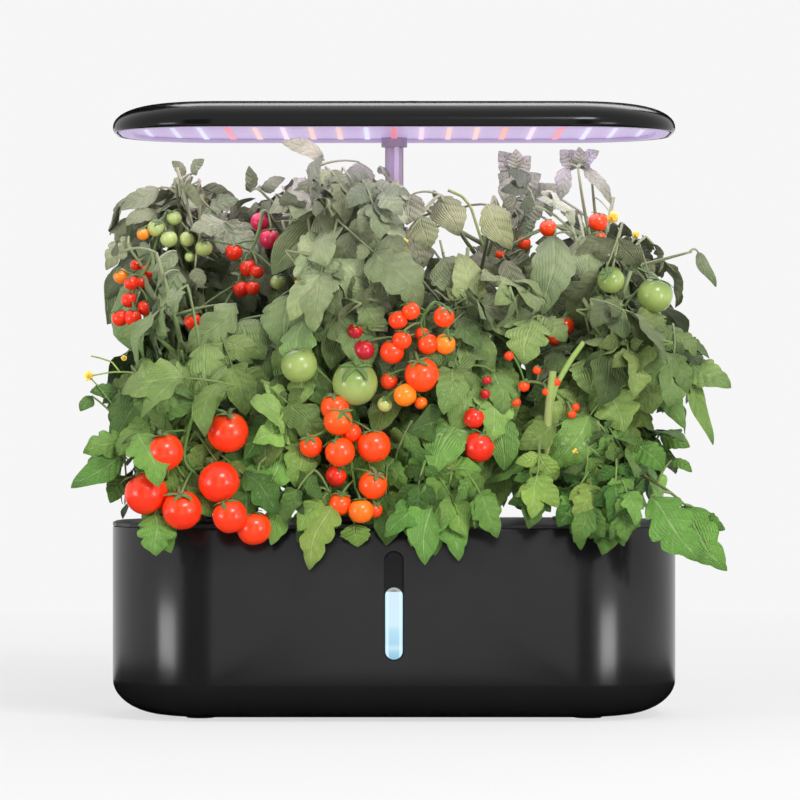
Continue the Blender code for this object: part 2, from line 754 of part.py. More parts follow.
def make_filler_cap():
    """The flap over the filler port, turning on a pin between the deck's two ears."""
    axis = (0, HINGE_Y, DECK_TOP + HINGE_HEIGHT)
    hinge = frame_point("filler_hinge", axis)
    cap_width = PORT_WIDTH + 2 * CAP_MARGIN
    cap_length = PORT_LENGTH + CAP_MARGIN
    front = HINGE_Y - HINGE_SETBACK - PORT_LENGTH - CAP_MARGIN
    rounded = outline(cap_width, cap_length, PORT_RADIUS, PORT_STEPS)
    flap = [(x, y + front + cap_length / 2) for x, y in rounded]
    cap = plate("filler_cap", [flap], CAP_THICKNESS, DECK_TOP + FIT)
    tongue = box(
        "cap_tongue",
        (HINGE_KNUCKLE_LENGTH, HINGE_Y - front - cap_length + OVERLAP, CAP_THICKNESS),
        (0, (HINGE_Y + front + cap_length - OVERLAP) / 2, DECK_TOP + FIT + CAP_THICKNESS / 2),
    )
    knuckle = rod(
        "cap_knuckle",
        HINGE_KNUCKLE_RADIUS,
        (-HINGE_KNUCKLE_LENGTH / 2, HINGE_Y, DECK_TOP + HINGE_HEIGHT),
        HINGE_KNUCKLE_LENGTH,
        axis="X",
    )
    bore = rod(
        "knuckle_bore_cutter",
        HINGE_PIN_RADIUS + FIT,
        (-HINGE_PIN_LENGTH, HINGE_Y, DECK_TOP + HINGE_HEIGHT),
        2 * HINGE_PIN_LENGTH,
        axis="X",
    )
    join(cap, tongue, knuckle)
    cut(cap, bore)
    finish(cap, "deck_black", hinge)
    pin = rod(
        "filler_hinge_pin",
        HINGE_PIN_RADIUS,
        (-HINGE_PIN_LENGTH / 2, HINGE_Y, DECK_TOP + HINGE_HEIGHT),
        HINGE_PIN_LENGTH,
        steps=PIN_STEPS,
        axis="X",
    )
    finish(pin, "post_steel", None)


def basket_outer(height):
    """The basket's outer radius at a height above its foot."""
    share = height / (BASKET_DEPTH + DECK_THICKNESS)
    return BASKET_FOOT_RADIUS + (POD_RADIUS - FIT - BASKET_FOOT_RADIUS) * share


def make_baskets():
    """A slotted net basket hangs by its rim in each pod hole, with a foam plug inside."""
    rise = BASKET_DEPTH + DECK_THICKNESS + FIT
    rim = basket_outer(rise) + BASKET_FLANGE
    floor = BASKET_WALL
    cup = [
        (0, floor),
        (basket_outer(floor) - BASKET_WALL, floor),
        (basket_outer(rise) - BASKET_WALL, rise + BASKET_LIP),
        (rim, rise + BASKET_LIP),
        (rim, rise),
        (basket_outer(rise) - FIT, rise),
        (BASKET_FOOT_RADIUS, 0),
        (0, 0),
    ]
    plug = [
        (0, floor + FIT),
        (basket_outer(floor) - BASKET_WALL - FIT, floor + FIT),
        (basket_outer(rise) - BASKET_WALL - 2 * FIT, rise),
        (0, rise),
    ]
    bottom = DECK_UNDERSIDE - BASKET_DEPTH
    slot_height = BASKET_SLOT_TOP - BASKET_SLOT_BOTTOM
    for number, (x, y) in enumerate(pod_places(), start=1):
        basket = turned(f"basket_{number}", cup, (x, y, bottom))
        for direction, size in enumerate([(3 * POD_RADIUS, BASKET_SLOT), (BASKET_SLOT, 3 * POD_RADIUS)]):
            slot = box(
                f"basket_slot_cutter_{number}_{direction}",
                (*size, slot_height),
                (x, y, bottom + BASKET_SLOT_BOTTOM + slot_height / 2),
            )
            cut(basket, slot)
        finish(basket, "basket_black", None)
        finish(turned(f"grow_plug_{number}", plug[::-1], (x, y, bottom)), "foam_brown", None)


def tube_profile(radius, length, collar):
    """A tube of TUBE_WALL thickness, with a gripping collar round its upper end if asked."""
    outer = radius + (COLLAR_WALL if collar else 0)
    profile = [(outer, length)]
    if collar:
        profile += [(outer, length - COLLAR_HEIGHT), (radius, length - COLLAR_HEIGHT)]
    return [*profile, (radius, 0), (radius - TUBE_WALL, 0), (radius - TUBE_WALL, length)]


def make_post():
    """The post's foot on the deck, and three tubes that slide one in another."""
    base = box(
        "post_base",
        (POST_BASE_WIDTH, POST_BASE_DEPTH, POST_BASE_HEIGHT),
        (0, POST_Y, DECK_TOP + FIT + POST_BASE_HEIGHT / 2),
        rounding=POST_BASE_RADIUS,
    )
    socket_floor = DECK_TOP + FIT + POST_BASE_FLOOR
    bore = rod(
        "post_bore_cutter",
        LOWER_TUBE_RADIUS + FIT,
        (0, POST_Y, socket_floor),
        POST_BASE_HEIGHT,
        steps=TUBE_STEPS,
    )
    rear = POST_Y + POST_BASE_DEPTH / 2
    jack_height = DECK_TOP + FIT + POST_BASE_HEIGHT / 2
    pocket = rod(
        "jack_pocket_cutter",
        JACK_RADIUS + FIT,
        (JACK_OFFSET, rear - JACK_LENGTH - FIT, jack_height),
        JACK_LENGTH + OVERRUN,
        axis="Y",
    )
    cut(base, bore, pocket)
    finish(base, "shell_black", None)

    jack_start = (JACK_OFFSET, rear - JACK_LENGTH, jack_height)
    jack = rod("dc_jack", JACK_RADIUS, jack_start, JACK_LENGTH, axis="Y")
    hollow = rod(
        "jack_bore_cutter",
        JACK_BORE,
        (JACK_OFFSET, rear - JACK_LENGTH + JACK_FLOOR, jack_height),
        JACK_LENGTH,
        axis="Y",
    )
    pin = rod(
        "jack_pin",
        JACK_PIN,
        (JACK_OFFSET, rear - JACK_LENGTH + JACK_FLOOR / 2, jack_height),
        JACK_LENGTH - JACK_FLOOR,
        steps=PIN_STEPS,
        axis="Y",
    )
    cut(jack, hollow)
    join(jack, pin)
    finish(jack, "gloss_black", None)

    lower_bottom = socket_floor + FIT
    middle_bottom = lower_bottom + MIDDLE_TUBE_RISE
    upper_bottom = UPPER_TUBE_TOP - UPPER_TUBE_LENGTH
    middle_slide = frame_point("post_middle_slide", (0, POST_Y, middle_bottom))
    pieces = [
        ("post_lower_tube", LOWER_TUBE_RADIUS, LOWER_TUBE_LENGTH, True, lower_bottom, None),
        ("post_middle_tube", MIDDLE_TUBE_RADIUS, MIDDLE_TUBE_LENGTH, True, middle_bottom, middle_slide),
        ("post_upper_tube", UPPER_TUBE_RADIUS, UPPER_TUBE_LENGTH, False, upper_bottom, LAMP_SLIDE),
    ]
    for name, radius, length, collar, bottom, group in pieces:
        tube = turned(name, tube_profile(radius, length, collar), (0, POST_Y, bottom), TUBE_STEPS)
        finish(tube, "post_steel", group)


def make_lamp():
    """The lamp: a thin moulded hood with the light panel in its mouth, on the post's upper tube."""
    dome = fillet(LAMP_FILLET_RUN, LAMP_HEIGHT - LAMP_LIP_RISE, LAMP_FILLET_POWER)
    rings = [(body_outline(inset), LAMP_UNDERSIDE + LAMP_LIP_RISE + rise) for inset, rise in dome[::-1]]
    rings += [
        (body_outline(0), LAMP_UNDERSIDE + LAMP_LIP_RISE),
        (body_outline(LAMP_LIP_INSET), LAMP_UNDERSIDE),
    ]
    hood = lofted("lamp_hood", rings[::-1], LAMP_WALL)
    for side in (-1, 1):
        boss = rod(
            f"hood_boss_{side + 1}",
            STANDOFF_RADIUS,
            (side * STANDOFF_PLACE, BUTTON_PLACE, LAMP_CEILING - STANDOFF_LENGTH),
            STANDOFF_LENGTH + OVERLAP,
            steps=PIN_STEPS,
        )
        join(hood, boss)
        hole = rod(
            f"button_hole_cutter_{side + 1}",
            BUTTON_RADIUS + FIT,
            (side * BUTTON_PITCH / 2, BUTTON_PLACE, LAMP_CEILING - OVERRUN),
            LAMP_WALL + 2 * OVERRUN,
        )
        cut(hood, hole)
    finish(hood, "gloss_black", LAMP_SLIDE)

    bezel_inset = LAMP_LIP_INSET + LAMP_WALL + 2 * FIT
    bezel = plate(
        "lamp_bezel",
        [body_outline(bezel_inset), body_outline(bezel_inset + BEZEL_WIDTH)],
        BEZEL_THICKNESS,
        LAMP_UNDERSIDE,
    )
    finish(bezel, "bezel_grey", LAMP_SLIDE)

    board_bottom = LAMP_UNDERSIDE + BEZEL_THICKNESS + FIT
    hub_radius = UPPER_TUBE_RADIUS + FIT + SOCKET_WALL
    board = plate(
        "led_panel",
        [body_outline(bezel_inset + BEZEL_WIDTH - BOARD_LAP)],
        BOARD_THICKNESS,
        board_bottom,
    )
    for strip in range(STRIP_COUNT):
        across = (strip - (STRIP_COUNT - 1) / 2) * STRIP_PITCH
        lamp_strip = box(
            f"led_strip_{strip + 1}",
            (STRIP_WIDTH, STRIP_LENGTH, STRIP_HEIGHT + OVERLAP),
            (across, 0, board_bottom - (STRIP_HEIGHT - OVERLAP) / 2),
        )
        join(board, lamp_strip)
    hub_hole = rod(
        "hub_hole_cutter",
        hub_radius + FIT,
        (0, POST_Y, LAMP_UNDERSIDE - OVERRUN),
        LAMP_HEIGHT,
        steps=TUBE_STEPS,
    )
    cut(board, hub_hole)
    finish(board, "board_lilac", LAMP_SLIDE)

    hub_top = board_bottom + SOCKET_DEPTH
    hub_bottom = LAMP_UNDERSIDE - SOCKET_COVER
    seat = UPPER_TUBE_TOP + FIT - hub_bottom
    hub_height = hub_top - hub_bottom
    bore_radius = UPPER_TUBE_RADIUS + FIT
    hub = [
        (0, hub_height),
        (hub_radius, hub_height),
        (hub_radius, 0),
        (bore_radius, 0),
        (bore_radius, seat),
        (0, seat),
    ]
    finish(turned("lamp_hub", hub, (0, POST_Y, hub_bottom), TUBE_STEPS), "gloss_black", LAMP_SLIDE)

    control_top = LAMP_CEILING - STANDOFF_LENGTH - FIT
    control = box(
        "control_board",
        (CONTROL_WIDTH, CONTROL_DEPTH, CONTROL_THICKNESS),
        (0, BUTTON_PLACE, control_top - CONTROL_THICKNESS / 2),
    )
    finish(control, "circuit_green", LAMP_SLIDE)

    cap_rise = LAMP_TOP + BUTTON_PROUD - LAMP_CEILING + FIT
    profile = [
        (0, cap_rise),
        (BUTTON_RADIUS, cap_rise),
        (BUTTON_RADIUS, 0),
        (BUTTON_RADIUS + BUTTON_FLANGE, 0),
        (BUTTON_RADIUS + BUTTON_FLANGE, -BUTTON_FLANGE_THICKNESS),
        (0, -BUTTON_FLANGE_THICKNESS),
    ]
    for side, name in ((-1, "mode_button"), (1, "timer_button")):
        place = (side * BUTTON_PITCH / 2, BUTTON_PLACE, LAMP_CEILING - FIT)
        press = frame_point(f"{name}_slide", place, LAMP_SLIDE)
        finish(turned(name, profile, place), "bezel_grey", press)


def make_pump():
    """A small submersible pump on the tank floor, with its riser up to the deck."""
    front = PUMP_PLACE - PUMP_DEPTH / 2
    bottom = TANK_FLOOR + FIT
    axis_height = bottom + PUMP_HEIGHT / 2
    body = box(
        "pump_body",
        (PUMP_WIDTH, PUMP_DEPTH, PUMP_HEIGHT),
        (0, PUMP_PLACE, bottom + PUMP_HEIGHT / 2),
        rounding=PUMP_ROUNDING,
    )
    chamber = rod(
        "chamber_cutter",
        CHAMBER_RADIUS,
        (0, front - OVERRUN, axis_height),
        CHAMBER_DEPTH + OVERRUN,
        steps=TUBE_STEPS,
        axis="Y",
    )
    nozzle_y = front + CHAMBER_DEPTH / 2
    nozzle = rod("pump_nozzle", NOZZLE_RADIUS, (0, nozzle_y, bottom + PUMP_HEIGHT - OVERLAP), NOZZLE_HEIGHT)
    way_up = rod(
        "nozzle_bore_cutter",
        NOZZLE_RADIUS - NOZZLE_WALL,
        (0, nozzle_y, axis_height),
        PUMP_HEIGHT + NOZZLE_HEIGHT,
        steps=PIN_STEPS,
    )
    shaft = rod(
        "pump_shaft",
        SHAFT_RADIUS,
        (0, front + CHAMBER_DEPTH - SHAFT_LENGTH, axis_height),
        SHAFT_LENGTH + OVERRUN,
        steps=PIN_STEPS,
        axis="Y",
    )
    join(body, nozzle)
    cut(body, chamber, way_up)
    join(body, shaft)
    finish(body, "deck_black", None)

    spin = frame_point("impeller_spin", (0, front + CHAMBER_DEPTH / 2, axis_height))
    impeller_start = front + (CHAMBER_DEPTH - IMPELLER_LENGTH) / 2
    hub = rod("pump_impeller", IMPELLER_HUB, (0, impeller_start, axis_height), IMPELLER_LENGTH, axis="Y")
    for blade_number in range(BLADE_COUNT):
        reach = IMPELLER_RADIUS - SHAFT_RADIUS - 2 * FIT
        blade = box(
            f"impeller_blade_{blade_number + 1}",
            (reach, IMPELLER_LENGTH - 2 * FIT, BLADE_THICKNESS),
            (IMPELLER_RADIUS - reach / 2, 0, 0),
        )
        turn = Matrix.Rotation(2 * math.pi * blade_number / BLADE_COUNT, 4, "Y")
        place = Matrix.Translation((0, impeller_start + IMPELLER_LENGTH / 2, axis_height))
        blade.data.transform(place @ turn)
        join(hub, blade)
    bore = rod(
        "impeller_bore_cutter",
        SHAFT_RADIUS + FIT,
        (0, impeller_start - OVERRUN, axis_height),
        IMPELLER_LENGTH + 2 * OVERRUN,
        steps=PIN_STEPS,
        axis="Y",
    )
    cut(hub, bore)
    finish(hub, "float_white", spin)

    cover = box(
        "pump_cover",
        (PUMP_WIDTH - 2 * PUMP_ROUNDING, COVER_THICKNESS, PUMP_HEIGHT - 2 * FIT),
        (0, front - FIT - COVER_THICKNESS / 2, axis_height),
    )
    for slot_number in range(COVER_SLOTS):
        across = (slot_number - (COVER_SLOTS - 1) / 2) * COVER_SLOT_PITCH
        slot = box(
            f"cover_slot_cutter_{slot_number + 1}",
            (COVER_SLOT_WIDTH, COVER_THICKNESS + 2 * OVERRUN, COVER_SLOT_HEIGHT),
            (across, front - FIT - COVER_THICKNESS / 2, axis_height),
        )
        cut(cover, slot)
    finish(cover, "basket_black", None)

    riser_inner = NOZZLE_RADIUS + FIT
    riser_bottom = bottom + PUMP_HEIGHT + FIT
    riser = ring(
        "pump_riser",
        riser_inner + RISER_WALL,
        riser_inner,
        riser_bottom,
        DECK_UNDERSIDE - FIT - riser_bottom,
        (0, nozzle_y),
        ROUND_STEPS,
    )
    outlet = box(
        "riser_outlet_cutter",
        (OUTLET_WIDTH, NOZZLE_RADIUS, OUTLET_HEIGHT),
        (0, nozzle_y, DECK_UNDERSIDE - SKIRT_DEPTH),
    )
    cut(riser, outlet)
    finish(riser, "float_white", None)

    lead_x = PUMP_WIDTH / 2 - PUMP_ROUNDING - LEAD_RADIUS
    lead_y = PUMP_PLACE + PUMP_DEPTH / 2 - PUMP_ROUNDING - LEAD_RADIUS
    lead_bottom = bottom + PUMP_HEIGHT + FIT
    lead_top = DECK_UNDERSIDE - FIT
    lead_start = (lead_x, lead_y, lead_bottom)
    lead = rod("pump_lead", LEAD_RADIUS, lead_start, lead_top - lead_bottom, steps=PIN_STEPS)
    finish(lead, "rubber_black", None)


def along(route, share):
    """The point at a share of the way along a list of evenly spaced points."""
    place = share * (len(route) - 1)
    first = min(int(place), len(route) - 2)
    return route[first].lerp(route[first + 1], place - first)


def in_foliage(across, deep, high):
    """The point at shares of half the foliage's width and depth, and of the lamp's height."""
    return Vector((across * FOLIAGE_HALF_WIDTH, deep * FOLIAGE_HALF_DEPTH, high * LAMP_UNDERSIDE))


def stem_route(plant):
    """A stem rises from its plug, upright at first, and leans to its top."""
    x, y = pod_places()[plant]
    base = Vector((x, y, DECK_TOP + STEM_FOOT_RISE))
    top = in_foliage(*STEM_TOP_SHARES[plant])
    bend = Vector((x, y, (base.z + top.z) / 2))
    shares = [step / STEM_BENDS for step in range(STEM_BENDS + 1)]
    return [base * (1 - t) ** 2 + bend * (2 * t * (1 - t)) + top * t**2 for t in shares]


def leaf_levels(root, tip, width, spare=0.0, start=0.0):
    """Lens-shaped cross-sections, from a start share on, along a leaf that arches from root to tip."""
    reach = tip - root
    length = reach.length
    flat = Vector((reach.x, reach.y, 0))
    if flat.length < length * LEVEL_SHARE:
        flat = Vector((0, -length * LEVEL_SHARE, 0))
    facing = math.copysign(FACING_SHARE, root.y) * flat.x / flat.length
    side = (Vector((flat.y, -flat.x, 0)).normalized() + Vector((0, 0, facing))).normalized()
    arch = root + flat * ARCH_SHARE + Vector((0, 0, max(reach.z, 0) + length * RISE_SHARE))
    levels = []
    for share, broad, trail in LEAF_SECTION_SHARES:
        share = max(share, start)
        point = root * (1 - share) ** 2 + arch * (2 * share * (1 - share)) + tip * share**2
        ahead = ((arch - root) * (1 - share) + (tip - arch) * share).normalized()
        normal = side.cross(ahead).normalized()
        half = PETIOLE_RADIUS + broad * width * length + spare
        rise = (LEAF_THICKNESS if broad else PETIOLE_RADIUS) + spare
        fall = normal * (half * LEAF_FOLD_SHARE if broad else 0) + ahead * trail * length
        levels.append([point - side * half - fall, point + normal * rise, point + side * half - fall,
                       point - normal * rise])
    return levels


def leaf_shape(levels, tip):
    """The closed surface through a leaf's sections, ending in its tip."""
    points = [corner for level in levels for corner in level] + [tip]
    faces = [(3, 2, 1, 0)]
    for level in range(len(levels) - 1):
        for corner in range(4):
            a = 4 * level + corner
            b = 4 * level + (corner + 1) % 4
            faces += [(a, b, b + 4), (a, b + 4, a + 4)]
    last = 4 * (len(levels) - 1)
    faces += [(last + corner, last + (corner + 1) % 4, len(points) - 1) for corner in range(4)]
    return points, faces


class Grown:
    """What has been placed already, so that no leaf of one plant grows through anything else."""

    def __init__(self):
        self.pieces = []

    def add(self, owner, points, faces):
        low = [min(point[i] for point in points) for i in range(3)]
        high = [max(point[i] for point in points) for i in range(3)]
        self.pieces.append((owner, low, high, BVHTree.FromPolygons(points, faces)))

    def add_object(self, owner, piece):
        graph = bpy.context.evaluated_depsgraph_get()
        data = piece.evaluated_get(graph).data
        points = [piece.matrix_world @ vertex.co for vertex in data.vertices]
        self.add(owner, points, [tuple(face.vertices) for face in data.polygons])

    def meets(self, points, faces, ignore=()):
        low = [min(point[i] for point in points) for i in range(3)]
        high = [max(point[i] for point in points) for i in range(3)]
        tree = None
        for owner, other_low, other_high, other in self.pieces:
            if owner in ignore:
                continue
            if any(low[i] > other_high[i] or high[i] < other_low[i] for i in range(3)):
                continue
            tree = tree or BVHTree.FromPolygons(points, faces)
            if tree.overlap(other):
                return True
        return False


def room_for(points):
    """Foliage keeps to its own space: clear of the lamp, and clear of the deck above the tank."""
    for point in points:
        if abs(point.x - FOLIAGE_SHIFT) > FOLIAGE_HALF_WIDTH or abs(point.y) > FOLIAGE_HALF_DEPTH:
            return False
        if point.z > LAMP_UNDERSIDE - FOLIAGE_LAMP_CLEARANCE or point.z < DECK_TOP - FOLIAGE_OVERHANG:
            return False
        over_deck = abs(point.x) < HALF_WIDTH + FOLIAGE_DECK_CLEARANCE
        over_deck = over_deck and abs(point.y) < HALF_DEPTH + FOLIAGE_DECK_CLEARANCE
        if over_deck and point.z < DECK_TOP + FOLIAGE_DECK_CLEARANCE:
            return False
    return True


def fits(grown, plant, root, tip, width):
    """True if a leaf has room, with some to spare, among what has been placed."""
    levels = leaf_levels(root, tip, width, LEAF_SPACING)
    points, faces = leaf_shape(levels, tip + (tip - root).normalized() * LEAF_SPACING)
    if not room_for(points[4:]):
        return False
    if grown.meets(points, faces, ignore=(f"stem_{plant}", f"plant_{plant}")):
        return False
    beyond = leaf_shape(leaf_levels(root, tip, width, LEAF_SPACING, CROWDED_SHARE), points[-1])
    return not grown.meets(*beyond, ignore=(f"stem_{plant}",))


def make_truss(name, plant, share, fruits, stems):
    """A stalk from the plant's stem, with its fruit threaded along it."""
    places = [in_foliage(across, deep, high) for across, deep, high, _ in fruits]
    origin = along(stems[plant], share)
    away = Vector((places[0].x - origin.x, places[0].y - origin.y, 0)).normalized()
    start = origin + away * (STEM_RADIUS + FIT)
    route = [start, start + away * FRUIT_SIZE / 2, *places]
    truss = meshed(tube_through(name, route, STALK_RADIUS, resolution=0))
    for number, (place, (*_, size)) in enumerate(zip(places, fruits), start=1):
        radius = size * FRUIT_SIZE / 2
        plain = 2 * radius <= SMALL_FRUIT_SIZE
        shape = bmesh.new()
        around, down = PLAIN_FRUIT_STEPS if plain else FRUIT_STEPS
        bmesh.ops.create_uvsphere(shape, u_segments=around, v_segments=down, radius=radius)
        bmesh.ops.translate(shape, vec=place, verts=shape.verts)
        join(truss, smooth(from_bmesh(f"{name}_fruit_{number}", shape), angle=90))
    finish(truss, "fruit_red", None)
    return truss


def make_plants():
    """Eight tomato plants. Chosen leaves make the outline, and seeded ones fill in between."""
    stems = [stem_route(plant) for plant in range(len(STEM_TOP_SHARES))]
    plants = [
        meshed(tube_through(f"plant_{number}", route, STEM_RADIUS, resolution=0))
        for number, route in enumerate(stems, start=1)
    ]
    trusses = [make_truss(*settings, stems) for settings in TRUSS_SHARES]
    bpy.context.view_layer.update()
    grown = Grown()
    for piece in PRODUCT.objects:
        if piece.type == "MESH" and piece not in plants and piece not in trusses:
            grown.add_object("hardware", piece)
    for number, plant in enumerate(plants):
        grown.add_object(f"stem_{number}", plant)
    for truss in trusses:
        grown.add_object("truss", truss)
    grown.add_object("hardware", swing_guard())
    chosen = []
    for plant, share, across, deep, high, width in OUTER_LEAF_SHARES:
        chosen.append((plant, along(stems[plant], share), in_foliage(across, deep, high), width))
    leaves = []

    def try_leaf(plant, root, tip, width):
        if not fits(grown, plant, root, tip, width):
            return False
        levels = leaf_levels(root, tip, width)
        grown.add(f"plant_{plant}", *leaf_shape(levels, tip))
        leaves.append((plant, levels, tip))
        return True

    for plant, root, tip, width in chosen:
        if not try_leaf(plant, root, tip, width):
            try_leaf(plant, root, root.lerp(tip, SHORTER_SHARE), width)

    draw = random.Random(LEAF_SEED)
    for plant in range(len(plants)):
        settled = 0
        for _ in range(LEAF_TRIES):
            if settled == LEAVES_PER_PLANT:
                break
            share = draw.uniform(*LEAF_PLACE_SHARES)
            heading = draw.uniform(0, 2 * math.pi)
            length = LEAF_LENGTH + draw.uniform(-1, 1) * LEAF_LENGTH_SPREAD
            lift = draw.uniform(*LEAF_LIFT_SHARES)
            reach = Vector((math.cos(heading), math.sin(heading), lift)).normalized() * length
            root = along(stems[plant], share)
            settled += try_leaf(plant, root, root + reach, draw.uniform(*LEAF_WIDTH_SHARES))

    for number, (plant, levels, tip) in enumerate(leaves, start=1):
        points, faces = leaf_shape(levels, tip)
        data = bpy.data.meshes.new(f"leaf_{number}")
        data.from_pydata(points, [], faces)
        shape = bmesh.new()
        shape.from_mesh(data)
        bpy.data.meshes.remove(data)
        join(plants[plant], from_bmesh(f"leaf_{number}", shape))
    for plant in plants:
        finish(plant, "leaf_green", None)


def swing_guard():
    """A helper block round the space in which the filler cap swings open."""
    height = PORT_LENGTH + CAP_SWING_ROOM
    guard = box(
        "cap_swing_guard",
        (PORT_WIDTH + CAP_SWING_ROOM, 2 * PORT_LENGTH, height),
        (0, HINGE_Y - PORT_LENGTH / 2, DECK_TOP + height / 2),
    )
    return as_cutter(guard)


clear_scene()
PRODUCT = new_collection("countertop_garden")
CUTTERS = new_collection("cutters", hidden=True)
MATERIALS = {name: new_material(name, *look) for name, look in COLOURS.items()}
LAMP_SLIDE = frame_point("lamp_slide", (0, POST_Y, UPPER_TUBE_TOP - UPPER_TUBE_LENGTH))
make_tank()
make_feet()
make_gauge()
make_deck()
make_filler_cap()
make_baskets()
make_post()
make_lamp()
make_pump()
make_plants()
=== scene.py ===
"""Look of a countertop hydroponic garden: black tank, grow lamp on a post, and eight tomato plants in fruit."""
import math

import bpy
import numpy as np
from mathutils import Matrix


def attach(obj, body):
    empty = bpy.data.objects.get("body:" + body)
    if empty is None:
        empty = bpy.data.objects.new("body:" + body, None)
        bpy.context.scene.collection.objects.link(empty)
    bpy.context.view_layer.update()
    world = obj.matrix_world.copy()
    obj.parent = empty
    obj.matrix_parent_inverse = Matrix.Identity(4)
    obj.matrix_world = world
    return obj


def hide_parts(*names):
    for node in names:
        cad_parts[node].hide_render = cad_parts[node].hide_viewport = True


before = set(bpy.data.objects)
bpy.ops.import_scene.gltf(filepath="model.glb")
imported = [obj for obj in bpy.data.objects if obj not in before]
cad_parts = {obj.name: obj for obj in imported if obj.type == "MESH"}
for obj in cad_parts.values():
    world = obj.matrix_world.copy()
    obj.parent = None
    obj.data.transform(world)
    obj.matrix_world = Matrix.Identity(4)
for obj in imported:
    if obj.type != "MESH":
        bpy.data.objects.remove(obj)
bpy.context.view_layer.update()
rng = np.random.default_rng(7)

MM = 0.001

# Camera: the eye's place in metres, then the focal length and the picture's side in pixels. It looks along +Y.
EYE = np.array([0.0039, -2.8925, 0.2080])
FOCAL = 4361.0
PICTURE = 800

# Sizes that the CAD part has, in metres
HALF_WIDTH, HALF_DEPTH, CORNER = 0.185, 0.0925, 0.070
TANK_BOTTOM, TANK_RIM, TANK_WALL, CURL_RUN, CURL_RISE = 0.0018, 0.1253, 0.0025, 0.036, 0.023
DECK_TOP = 0.1278
LAMP_BOTTOM, LAMP_TOP, LAMP_LIP, LAMP_WALL = 0.3838, 0.4026, 0.0025, 0.0020
DOME_RUN, DOME_POWER = 0.045, 2.3
BUTTON_X, BUTTON_Y, BUTTON_HOLE = 0.012, -0.034, 0.0053
POD_X, POD_FRONT, POD_BACK, POD_PITCH = (-0.126, -0.042, 0.042, 0.126), -0.046, 0.042, 0.084
POST_Y = 0.0715
STRIP_PITCH, DIODE_PITCH = 0.0182, 0.0085
GAUGE_LOW, GAUGE_HIGH, GAUGE_HALF = 0.0405, 0.1111, 0.0064
GLASS_LOW, GLASS_HIGH, GLASS_HALF, WATER_LEVEL = 0.0413, 0.0876, 0.0058, 0.0849


# Node expressions

class Value:
    """A socket in a node tree; sums, products and powers of it add Math nodes."""

    def __init__(self, tree, socket):
        self.tree, self.socket = tree, socket

    def math(self, operation, *values):
        node = self.tree.nodes.new("ShaderNodeMath")
        node.operation = operation
        for socket, value in zip(node.inputs, values):
            if isinstance(value, Value):
                self.tree.links.new(value.socket, socket)
            else:
                socket.default_value = value
        return Value(self.tree, node.outputs[0])

    def __add__(self, other):
        return self.math("ADD", self, other)

    def __radd__(self, other):
        return self.math("ADD", other, self)

    def __sub__(self, other):
        return self.math("SUBTRACT", self, other)

    def __rsub__(self, other):
        return self.math("SUBTRACT", other, self)

    def __mul__(self, other):
        return self.math("MULTIPLY", self, other)

    def __rmul__(self, other):
        return self.math("MULTIPLY", other, self)

    def __truediv__(self, other):
        return self.math("DIVIDE", self, other)

    def __pow__(self, other):
        return self.math("POWER", self, other)

    def __abs__(self):
        return self.math("ABSOLUTE", self)

    def clip(self, low=0.0, high=1.0):
        return self.math("MINIMUM", self.math("MAXIMUM", self, low), high)

    def step(self, low, high):
        """0 below low, 1 above high, straight between."""
        return ((self - low) / (high - low)).clip()

    def wave(self):
        """A triangle wave of period 1, from 0 at whole numbers to 1 half-way."""
        return 1 - abs(self.math("FRACT", self) * 2 - 1)


class Nodes:
    """A node tree. node() adds any node to it: its type, its settings, then its sockets."""

    def __init__(self, tree):
        self.tree = tree

    def feed(self, node, sockets):
        for key, value in sockets.items():
            if isinstance(value, Value):
                self.tree.links.new(value.socket, node.inputs[key])
            else:
                node.inputs[key].default_value = value

    def node(self, kind, settings=None, sockets=None, output=0):
        made = self.tree.nodes.new("ShaderNode" + kind)
        for key, value in (settings or {}).items():
            if key == "stops":
                stops = made.color_ramp.elements
                while len(stops) < len(value):
                    stops.new(1.0)
                for stop, (place, colour) in zip(stops, value):
                    stop.position, stop.color = place, (*colour, 1)
            else:
                setattr(made, key, value)
        self.feed(made, sockets or {})
        return Value(self.tree, made.outputs[output])

    def place(self):
        return self.node("TexCoord", output=3)

    def split(self, vector):
        """The three numbers of a vector."""
        parts = self.node("SeparateXYZ", sockets={0: vector}).socket.node
        return [Value(self.tree, socket) for socket in parts.outputs]

    def read(self, attribute):
        """The three numbers of a piece's own attribute."""
        return self.split(self.node("Attribute", {"attribute_name": attribute}, output=1))

    def noise(self, scale, detail=2.0, vector=None):
        sockets = {"Vector": vector or self.place(), "Scale": scale, "Detail": detail}
        return self.node("TexNoise", sockets=sockets)

    def mix(self, share, a, b, blend="MIX"):
        """Colour b over colour a by a share."""
        a, b = (colour if isinstance(colour, Value) else (*colour, 1) for colour in (a, b))
        sockets = {"Factor": share, 6: a, 7: b}
        return self.node("Mix", {"data_type": "RGBA", "blend_type": blend}, sockets, output=2)

    def ramp(self, share, *stops, interpolation="LINEAR"):
        made = self.node("ValToRGB", {"stops": stops}, {"Fac": share})
        made.socket.node.color_ramp.interpolation = interpolation
        return made

    def seen_rays(self):
        """1 for rays from the camera and for those that a surface mirrors or lets through."""
        path = self.node("LightPath").socket.node.outputs
        kinds = "Camera", "Glossy", "Transmission"
        seen, mirrored, through = (Value(self.tree, path[f"Is {kind} Ray"]) for kind in kinds)
        return (seen + mirrored + through).clip()


